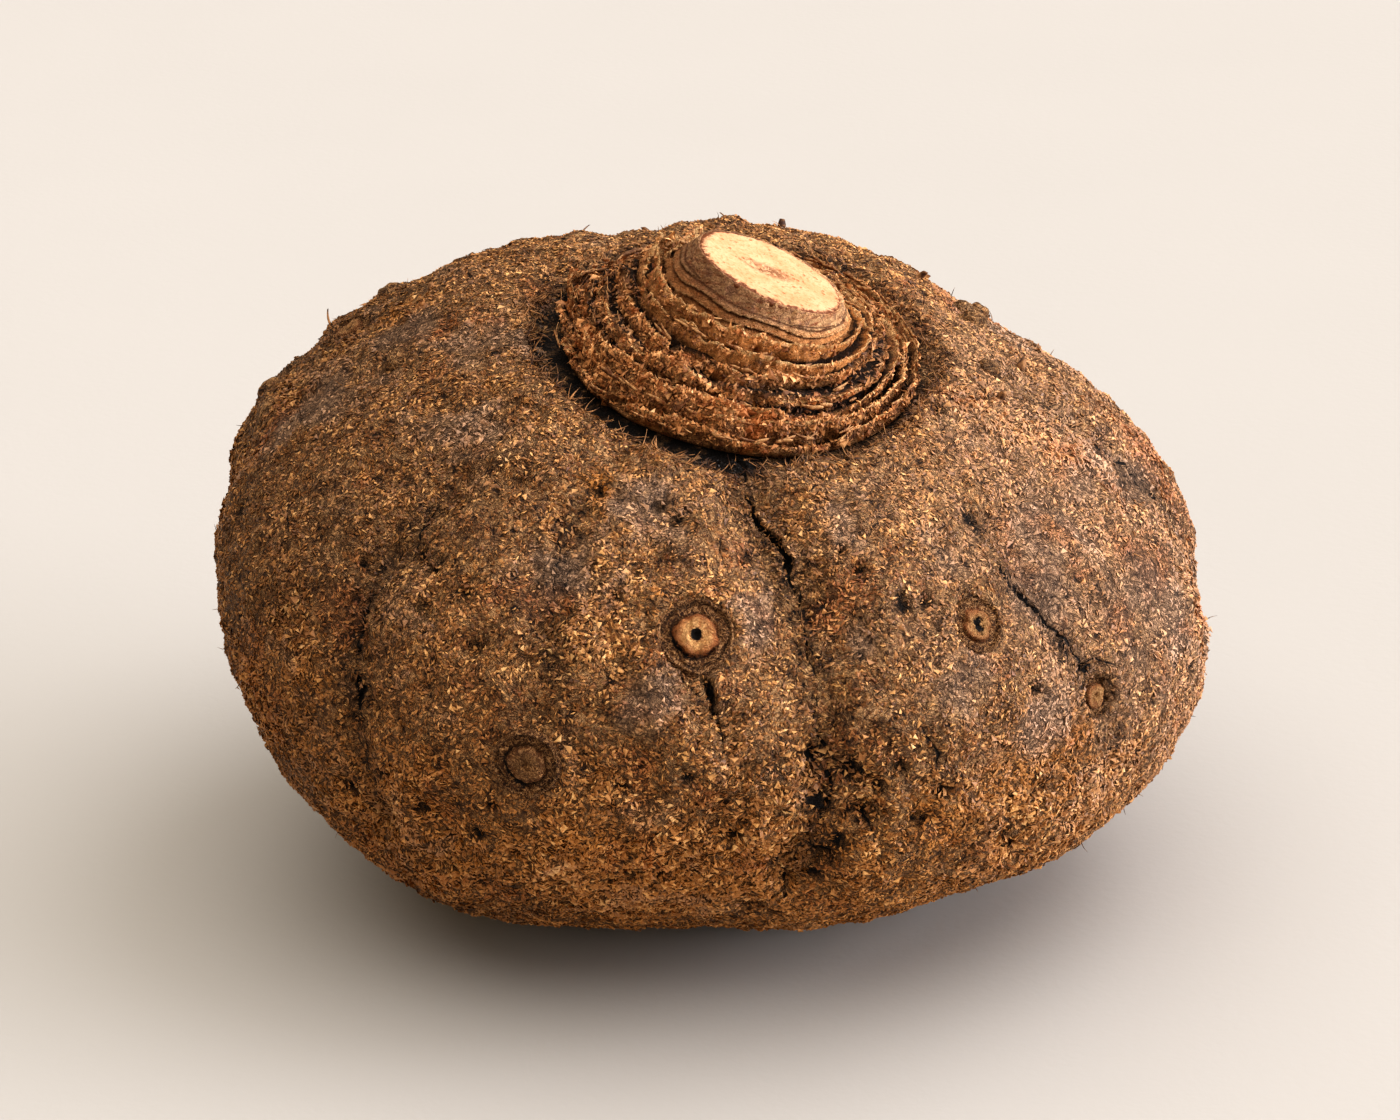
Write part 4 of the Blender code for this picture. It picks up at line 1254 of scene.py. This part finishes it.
def stem_grid():
    """Points of the stem foot, every row carried round its axis, and the values of its
    colours. Noise round the turn is drawn apart for each ring. Lips are torn, swayed and in
    places worn down, the outer grooves open wide on the right, and the stub has steps."""
    radius, height, lip, groove, ring = (column[:, None] for column in stem_rows().T)
    turn = full_turn(STEM_COLUMNS)[None]
    circle = circled(turn, 1.0, 3.1 * ring)
    broad = rough(circle, 0.85, 51, 2)
    fine = rough(circle, 0.11, 52, 3)
    ragged = 0.75 - 0.45 * np.cos(turn - 0.3)
    far_left = smooth_step(-0.2, 0.9, np.sin(turn) - 0.6 * np.cos(turn))
    near_left = smooth_step(0.25, 0.95, np.cos(turn + 2.5))
    worn = smooth_step(-0.10, 0.40, rough(circle, 0.46, 56, 2) + 0.35 * far_left + 0.25 * near_left)
    worn = worn * (ring < WORN_RINGS)
    torn = lip * (0.75 * broad + 0.55 * fine * ragged + 0.15) - 1.5 * lip * worn
    opening = smooth_step(0.1, 0.8, np.cos(turn + 0.12)) * (ring < OPEN_RINGS)

    reach = radius + RING_LEAN * broad * smooth_step(-0.002, 0.004, height) * (ring < RINGS)
    reach = reach - MOAT_WIDER * near_left * (ring < DRAWN_RINGS) * (1.0 - 0.4 * ring)
    reach = reach + TEAR_RADIUS * lip * fine * ragged
    climb = height / STEP_HEIGHT + 0.9 * rough(circle, 0.8, 66, 2)
    step = (1.0 - (climb - np.floor(climb))) * (ring == RINGS)
    step = step * (1.0 - smooth_step(STEP_TOP - 0.0012, STEP_TOP, height))
    reach = reach + STEP_DEPTH * step
    rise = height + TEAR_HEIGHT * torn - groove * (GROOVE_DEEPER + OPEN_DEPTH * opening)
    rise = rise + WORN_FILL * worn * groove
    rise = rise + RING_SWAY * rough(circle, 0.75, 58, 2) * (ring > 0) * (ring < RINGS)
    rise = np.maximum(rise, GAP - SAUCER_DEPTH)
    centre, up, right, back = stem_axis(rise)
    grid = centre + (reach * np.cos(turn))[..., None] * right + (reach * np.sin(turn))[..., None] * back

    outward = unit(grid - centre + 1e-9)
    crumbs = layered(grid, CRUMB_RELIEF) * (1.0 - 0.5 * lip)
    stub = (ring == RINGS) * smooth_step(0.0085, 0.0115, height)
    streaks = STREAK_DEPTH * rough(circled(turn, 14.0, 90.0 * height), 1.0, 57, 2)
    ribs = RIB_DEPTH * rough(circled(turn, 18.0, 60.0 * height), 1.0, 59, 2)
    smooth_right = 1.0 - 0.55 * smooth_step(0.0, 0.9, np.cos(turn))
    crumbs = (crumbs + ribs) * smooth_right * (1.0 - 0.8 * stub)
    rugged = (crumbs + stub * streaks) * (height > -0.002)
    grid = grid + rugged[..., None] * (outward + 0.5 * up)
    values = {"lip": lip, "groove": groove, "ring": ring, "side": np.cos(turn), "step": step,
              "stub": stub, "height": 1000.0 * height}
    return grid, {label: np.broadcast_to(v, grid.shape[:2]) for label, v in values.items()}


stem_points, stem_values = stem_grid()
stem_middle = stem_axis(stem_rows()[:, 1:2])[0]
stem_normals = grid_normals(stem_points, stem_points - stem_middle + 0.004 * unit(CROWN_UP))
stem_bark_piece = closed_grid("stem_bark", stem_points, stem_values)
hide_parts("stem_foot")
print("stem_bark triangles:", len(stem_bark_piece.data.polygons))

# %% [markdown]
# ## The cut
#
# The knife left a nearly flat, cream face with a thin brown rim, fine pores and a worn spot
# in the middle. A separate thin disc gives it a finish of its own. Its edge is ragged, and it
# is sunk a hair below the rim of the bark.

# %% The cut face as a thin disc
CUT_COLUMNS, CUT_ROWS, CUT_UNDER_ROWS = 150, 38, 5
CUT_THICKNESS = 0.0012
HOLLOW_DEPTH, HOLLOW_RADIUS, HOLLOW_OFFSET = 0.0005, 0.0030, 0.002
CUT_EDGE_DROP = 0.0004

# Height, size, seed and layers of the marks that the knife left
KNIFE_WAVES = ((0.00016, 0.006, 62, 3), (0.00005, 0.0012, 63, 2))


def cut_grid():
    """A lens of two sides: the under side in a few rows, then the face from its edge to its
    middle, with a shallow worn hollow and knife waves."""
    length = math.dist((0, 0, 0), CUT_OFFSET)
    out = np.concatenate([np.linspace(0.2, 1.0, CUT_UNDER_ROWS), np.linspace(1.0, 0.02, CUT_ROWS)])[:, None]
    under = (np.arange(CUT_UNDER_ROWS + CUT_ROWS) < CUT_UNDER_ROWS)[:, None]
    turn = full_turn(CUT_COLUMNS)[None]
    uneven = 1.0 + 0.012 * rough(circled(turn, 1.0, 0.0), 0.5, 61, 3)
    reach = (CUT_RADIUS - 0.8 * CUT_EDGE) * out * uneven
    flat = circled(turn, reach, 0.0)
    from_hollow = (flat[..., 0] + HOLLOW_OFFSET) ** 2 + flat[..., 1] ** 2
    hollow = -HOLLOW_DEPTH * np.exp(-from_hollow / HOLLOW_RADIUS ** 2)
    edge = -CUT_EDGE_DROP * smooth_step(0.90, 1.0, out)
    rise = 0.00010 + np.where(under, -CUT_THICKNESS, layered(flat, KNIFE_WAVES) + hollow + edge)
    centre, up, right, back = stem_axis(0 * reach + length)
    grid = centre + flat[..., :1] * right + flat[..., 1:2] * back + rise[..., None] * up
    return grid, {"out": out, "across": flat[..., 0] * 1000, "along": flat[..., 1] * 1000}


def cut_material():
    """Cream flesh with browner grain, small pores, a brown worn spot and a dark edge."""
    made, start, place = new_material("cut_flesh")
    out, across, along = (value_of(start, label) for label in ("out", "across", "along"))
    cloud = noise(place, 160.0, 4.0, 0.6)
    grain = noise(place, 1300.0, 3.0, 0.6)
    pores = place.node("ShaderNodeTexVoronoi", None, {"Vector": place, "Scale": 620.0})
    base = blend(colour(212, 150, 108), colour(224, 168, 128), cloud.between(0.35, 0.62))
    base = blend(base, colour(178, 120, 72), grain.between(0.50, 0.64) * 0.55)
    pore = pores.between(0.30, 0.12) * noise(place, 330.0, 2.0).between(0.46, 0.58)
    base = blend(base, colour(166, 104, 54), pore * 0.7)
    middle = ((across + 1.0) * (across + 1.0) * 0.30 + along * along).between(12.0, 0.0)
    worn = middle * noise(place, 620.0, 4.0, 0.7, 1.2).between(0.45, 0.54)
    base = blend(base, colour(112, 66, 26), worn * 0.85)
    rim = (out + noise(place, 620.0, 5.0, 0.7, 0.6) * 0.32).between(1.06, 1.12)
    base = blend(base, colour(100, 54, 24), rim)
    return finish(made, base, 0.62, grain - pore * 1.5 - worn * 1.5, 0.0004, 0.7, 0.35)


grid, values = cut_grid()
cut_face_piece = closed_grid("cut_face", grid, values)
dress(cut_face_piece, cut_material())
print("cut_face triangles:", len(cut_face_piece.data.polygons))

# %% [markdown]
# ## Bark of the stem foot
#
# The bark is dark and fibrous on the shaded walls, with painted shade in its grooves, orange brown
# where it is fresher, and nearly straw coloured along the torn lips. The stub itself is smoother,
# with streaks, painted shade on its left, painted highlights on the edges of its steps with dark
# lines of painted shade under them, and a golden foot. Crumbs of bark cling to the walls, as
# slivers like the skin's.


# %% Bark colours
def bark_material():
    """Painted shade in the grooves, brown crumbly walls that are golden on the inner rings, more so on
    the right as painted light, a streaked stub with painted shade on its left, painted highlights on
    its step edges with painted shade under them, and pale torn lips."""
    made, start, place = new_material("stem_bark_fine")
    lip, groove, side = (value_of(start, label) for label in ("lip", "groove", "side"))
    stub, height, step = (value_of(start, label) for label in ("stub", "height", "step"))
    streak = noise(place, 560.0, 5.0, 0.62, 0.6)
    cloud = noise(place, 130.0, 5.0, 0.62, 0.9)
    grain = noise(place, 1300.0, 4.0, 0.65, 1.0)
    thread = threads(place, 700.0, 0.09, 7.0)
    tone = (streak * 0.5 + grain * 0.3 + thread * 0.25).between(0.36, 0.72)
    fibrous = place.node("ShaderNodeMapping", None, {"Vector": place, "Scale": (1.0, 1.0, 0.25)})
    ribs = noise(fibrous, 760.0, 4.0, 0.62, 0.5)
    tone = (tone * 0.6 + ribs.between(0.36, 0.64) * 0.5).clamp()
    walls = blend(colour(78, 44, 22), colour(228, 168, 112), tone)
    walls = blend(walls, colour(222, 128, 58), cloud.between(0.50, 0.66) * 0.42)
    walls = blend(walls, colour(96, 58, 50), cloud.between(0.48, 0.34) * 0.65)
    lines = place.node("ShaderNodeMapping", None, {"Vector": place, "Scale": (0.22, 0.22, 1.6)})
    banded = (noise(lines, 900.0, 3.0, 0.6, 0.3) * 0.6 + streak * 0.4).between(0.34, 0.56)
    smooth = blend(colour(170, 104, 70), colour(255, 200, 146), banded)
    foot = height.between(13.4, 11.0)
    smooth = blend(smooth, colour(236, 156, 90), foot * 0.70)
    purple = height.between(12.2, 13.4) * streak.between(0.52, 0.60)
    smooth = blend(smooth, colour(122, 78, 74), purple * 0.6)
    # Painted highlights on the step edges, then painted shade under them
    smooth = blend(smooth, colour(255, 212, 150), step.between(0.72, 0.95) * grain.between(0.36, 0.54) * 0.7)
    smooth = blend(smooth, colour(74, 40, 20), step.between(0.02, 0.10) * step.between(0.40, 0.16) * 0.75)
    # Painted shade on the stub's left
    shade = (side * 0.9 + 0.25).clamp()
    smooth = blend(blend(smooth, colour(96, 58, 34), 0.62), smooth, shade)
    # Golden inner rings, stronger on the right as painted light
    inner = value_of(start, "ring").between(3.5, 5.0) * (side * 0.35 + 0.60).clamp()
    walls = blend(walls, colour(236, 158, 92), inner * streak.between(0.32, 0.50))
    base = blend(walls, smooth, stub)
    paper = blend(colour(170, 108, 60), colour(255, 206, 146), grain.between(0.35, 0.56))
    base = blend(base, paper, (lip * 0.8 + grain * 0.6 - 0.5).between(0.20, 0.65) * 0.9)
    # Painted shade in the grooves
    base = blend(base, DEEP, (groove * 1.1 - grain * 0.3).between(0.35, 0.9) * (1.0 - stub) * 0.96)
    relief = thread * 0.4 + streak * 0.6 + grain * 0.5 + ribs * 0.9
    return finish(made, base, streak * 0.3 + 0.55, relief, 0.0016, 1.0, 0.2)


dress(stem_bark_piece, bark_material())

# %% Crumbs of bark
CRUMBS = 15000
CRUMB_LENGTHS = (0.0006, 0.0016)
CRUMB_WIDTHS = (0.0002, 0.0005)
CRUMB_LIFTS = (0.0001, 0.00035)
CRUMB_BENDS = (-0.4, 0.4)


def crumb_sheet():
    """Slivers on the walls and lips of the rings, most of them pointing up the wall."""
    wall = (stem_values["height"] > -2.0) * (stem_values["ring"] < RINGS)
    wall = wall * (1.0 - 0.75 * (stem_values["ring"] > 4.5))
    chance = wall * (0.25 + 0.15 * stem_values["lip"] + 0.6 * (1.0 - stem_values["groove"]))
    chance = chance * (1.0 - 0.35 * smooth_step(0.2, 0.9, stem_values["side"]))
    place, facing, cell, draw = grid_samples(stem_points, stem_normals, CRUMBS, chance, 92)
    up = np.broadcast_to(unit(CROWN_UP), place.shape)
    swirl = draw.normal(0.0, 1.0, CRUMBS) + 3.0 * lattice_noise(place, 0.004, 93) + 0.8
    rising = unit(up - (up * facing).sum(1, keepdims=True) * facing + 1e-6)
    chip = 1.0 + 1.2 * draw.random(CRUMBS) ** 7
    length = (chip * draw.uniform(*CRUMB_LENGTHS, CRUMBS))[:, None]
    width = (chip * draw.uniform(*CRUMB_WIDTHS, CRUMBS))[:, None]
    lift = (chip * (CRUMB_LIFTS[0] + CRUMB_LIFTS[1] * draw.random(CRUMBS) ** 2))[:, None]
    bend = draw.uniform(*CRUMB_BENDS, CRUMBS)[:, None]
    corners = slivers(place, facing, lying(facing, rising, swirl), length, width, lift, bend)
    tone = draw.random(CRUMBS) * 0.8 + 0.25 * stem_values["lip"][cell]
    return corners, at_corners({"tone": tone, "groove": stem_values["groove"][cell]})


def crumb_material():
    """Dark brown through orange to straw, by each crumb's tone, a little paler to its raised tip as a partly
    painted highlight, with painted shade at its foot and in the grooves.
    """
    made, start, place = new_material("bark_crumbs")
    tone, tip = value_of(start, "tone"), value_of(start, "tip")
    base = tone.node("ShaderNodeValToRGB", {"stops": (
        (0.00, colour(66, 36, 17)), (0.35, colour(142, 92, 54)), (0.65, colour(208, 146, 92)),
        (0.88, colour(244, 186, 128)), (1.00, colour(255, 222, 172)))}, {"Fac": tone * 0.8 + tip * 0.15})
    cloud = noise(place, 130.0, 5.0, 0.62, 0.9)
    base = blend(base, colour(196, 108, 52), cloud.between(0.50, 0.66) * 0.45)
    # Painted shade in the grooves and at each crumb's foot
    base = blend(base, DEEP, (value_of(start, "groove") * 0.6 + tip.between(0.6, 0.0) * 0.3).clamp())
    return finish(made, base, 0.65, noise(place, 1500.0, 3.0), 0.0002, 0.4, 0.45)


corners, values = crumb_sheet()
crumbs = copies("bark_crumbs", corners, FLAKE_FACES, values, False)
dress(crumbs, crumb_material())
print("crumbs of bark:", CRUMBS)

# %% [markdown]
# ## Papery shreds
#
# Scraps of the scale leaves still hang along the lips. Each shred is a thin strip, closed
# all round, that follows its ring for a few millimetres and lifts at the loose end.

# %% Shreds of scale leaf
SHREDS = 240
SHRED_ROWS, SHRED_TURNS = 7, 4
SHRED_LENGTHS = (0.0014, 0.0042)
SHRED_HEIGHTS = (0.0004, 0.0013)
SHRED_THICKNESS = 0.00012
SHRED_SHARE = (9, 7, 5, 4, 3, 2, 2)


def shred_strips():
    """Flaps as flattened tubes that run along the ring: the tube's middle line follows the
    lip for a short way and rises at its loose end, and its height fades at both ends."""
    draw = np.random.default_rng(91)
    ring = draw.choice(RINGS, SHREDS, p=np.array(SHRED_SHARE) / sum(SHRED_SHARE))
    turn = draw.uniform(0.0, 2.0 * math.pi, SHREDS)
    radius, top = ring_size(ring)
    centre, up, right, back = stem_axis(top)
    out = np.cos(turn)[:, None] * right + np.sin(turn)[:, None] * back
    round_way = np.cross(up, out) * draw.choice((-1.0, 1.0), (SHREDS, 1))
    start = centre + (radius - 0.0004)[:, None] * out - 0.0001 * up
    length, tall = draw.uniform(*SHRED_LENGTHS, SHREDS), draw.uniform(*SHRED_HEIGHTS, SHREDS)
    curl, climb = draw.uniform(-0.35, 0.25, SHREDS), draw.uniform(0.0, 0.35, SHREDS)
    share = np.linspace(0.0, 1.0, SHRED_ROWS)
    middle = (start[:, None] + (length[:, None] * share[None])[..., None] * round_way[:, None]
              + ((curl * length)[:, None] * share[None] ** 2)[..., None] * out[:, None]
              + ((climb * length)[:, None] * share[None] ** 2)[..., None] * up[:, None])
    half = 0.5 * tall[:, None] * np.sin(math.pi * (0.12 + 0.80 * share[None])) ** 0.7
    tallness = half[..., None] * up[:, None]
    depth = 0.5 * SHRED_THICKNESS * out[:, None] + 0.0 * tallness
    return np.stack([middle - tallness, middle - depth, middle + tallness, middle + depth], axis=2)


def paper_material():
    """Thin dry paper: straw to rust, darker at the foot."""
    made, start, place = new_material("scale_paper")
    grain = noise(place, 900.0, 4.0, 0.65, 0.8)
    cloud = noise(place, 210.0, 3.0, 0.6)
    base = blend(colour(120, 70, 36), colour(206, 158, 108), grain.between(0.36, 0.62))
    base = blend(base, colour(84, 48, 26), cloud.between(0.5, 0.66) * 0.7)
    return finish(made, base, 0.7, grain, 0.0004, 0.6)


strips = shred_strips()
shreds = copies("scale_shreds", strips.reshape(SHREDS, -1, 3), tube_faces(SHRED_ROWS, SHRED_TURNS))
dress(shreds, paper_material())
print("shreds:", SHREDS)

# %% [markdown]
# ## Table, light and camera
#
# The yam lies on a pale surface that has no edge in sight. Four soft lights stand far off. A
# low one on the right lights that side and leaves the left side dark. It adds little to the
# table, so its shadow stays faint. A weaker one stands high on the right, a little behind. A
# wide one overhead gives the soft shadow below, and a faint one stands in front. The warm sky
# fills the rest. The camera looks down by 25 degrees through a long lens.

# %% The table
FLOOR_RADIUS = 3.0
FLOOR_THICKNESS = 0.01


def floor_piece():
    """A wide flat disc, a centimetre thick: rings of points whose radius grows outward."""
    radius = np.array([0.001, 0.3, 0.8, FLOOR_RADIUS])[:, None]
    top = circled(full_turn(64)[None], radius, 0.0)
    return closed_grid("floor", np.concatenate([top, top[::-1] - (0.0, 0.0, FLOOR_THICKNESS)])[:, ::-1])


def floor_material():
    """A warm white surface with the faintest cloudiness."""
    made, start, place = new_material("pale_table")
    cloud = noise(place, 9.0, 3.0)
    base = blend(colour(175, 173, 171), colour(178, 176, 174), cloud)
    return finish(made, base, 0.85, noise(place, 420.0, 3.0), 0.0002, 0.3, 0.2)


floor = floor_piece()
floor.data.materials.append(floor_material())


# %% Lights
# Name, direction toward the light, strength, width in degrees and tint
LIGHTS = (
    ("side", (0.98, -0.08, 0.16), 4.5, 44.0, (1.0, 1.0, 1.06)),
    ("key", (0.58, 0.24, 0.78), 1.1, 50.0, (1.0, 1.0, 1.06)),
    ("overhead", (-0.04, -0.02, 1.0), 2.52, 84.0, (1.0, 0.95, 0.88)),
    ("front", (-0.10, -0.62, 0.78), 0.30, 90.0, (1.0, 0.93, 0.84)),
)
SKY_COLOUR = (1.0, 0.76, 0.48, 1.0)
SKY_STRENGTH = 0.30


def sun_light(name, toward, strength, spread, tint):
    """A far soft light that shines from a direction; spread is its width in degrees."""
    lamp = bpy.data.lights.new(name, "SUN")
    lamp.energy = strength
    lamp.angle = math.radians(spread)
    lamp.color = tint
    made = bpy.data.objects.new(name, lamp)
    made.rotation_euler = Vector(toward).to_track_quat("Z", "Y").to_euler()
    bpy.context.scene.collection.objects.link(made)


for light in LIGHTS:
    sun_light(*light)
sky = bpy.data.worlds.new("studio")
sky.use_nodes = True
sky.node_tree.nodes["Background"].inputs["Color"].default_value = SKY_COLOUR
sky.node_tree.nodes["Background"].inputs["Strength"].default_value = SKY_STRENGTH
bpy.context.scene.world = sky
bpy.context.scene.view_settings.view_transform = "Standard"
bpy.context.scene.view_settings.look = "Medium High Contrast"

# %% Camera
CAMERA_DROP = 25.0
CAMERA_DISTANCE = 0.785
CAMERA_AIM = (-0.0030, -0.0004, 0.0656)
LENS_LENGTH, SENSOR_WIDTH = 100.0, 36.0


def place_camera():
    """A long lens looking toward +Y and down, at the photograph's angle."""
    lens = bpy.data.cameras.new("camera")
    lens.lens = LENS_LENGTH
    lens.sensor_width = SENSOR_WIDTH
    made = bpy.data.objects.new("camera", lens)
    drop = math.radians(CAMERA_DROP)
    gaze = Vector((0.0, math.cos(drop), -math.sin(drop)))
    made.location = Vector(CAMERA_AIM) - CAMERA_DISTANCE * gaze
    made.rotation_euler = (math.radians(90.0) - drop, 0.0, 0.0)
    bpy.context.scene.collection.objects.link(made)
    bpy.context.scene.camera = made
    return made


camera = place_camera()
print("camera at", [round(v, 3) for v in camera.location])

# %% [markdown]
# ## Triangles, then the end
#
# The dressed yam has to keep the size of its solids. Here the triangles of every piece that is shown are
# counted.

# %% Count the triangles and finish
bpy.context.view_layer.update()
shown = [o for o in bpy.context.scene.objects if o.type == "MESH" and o != floor and not o.hide_render]
print("triangles shown:", sum(len(face.vertices) - 2 for o in shown for face in o.data.polygons))
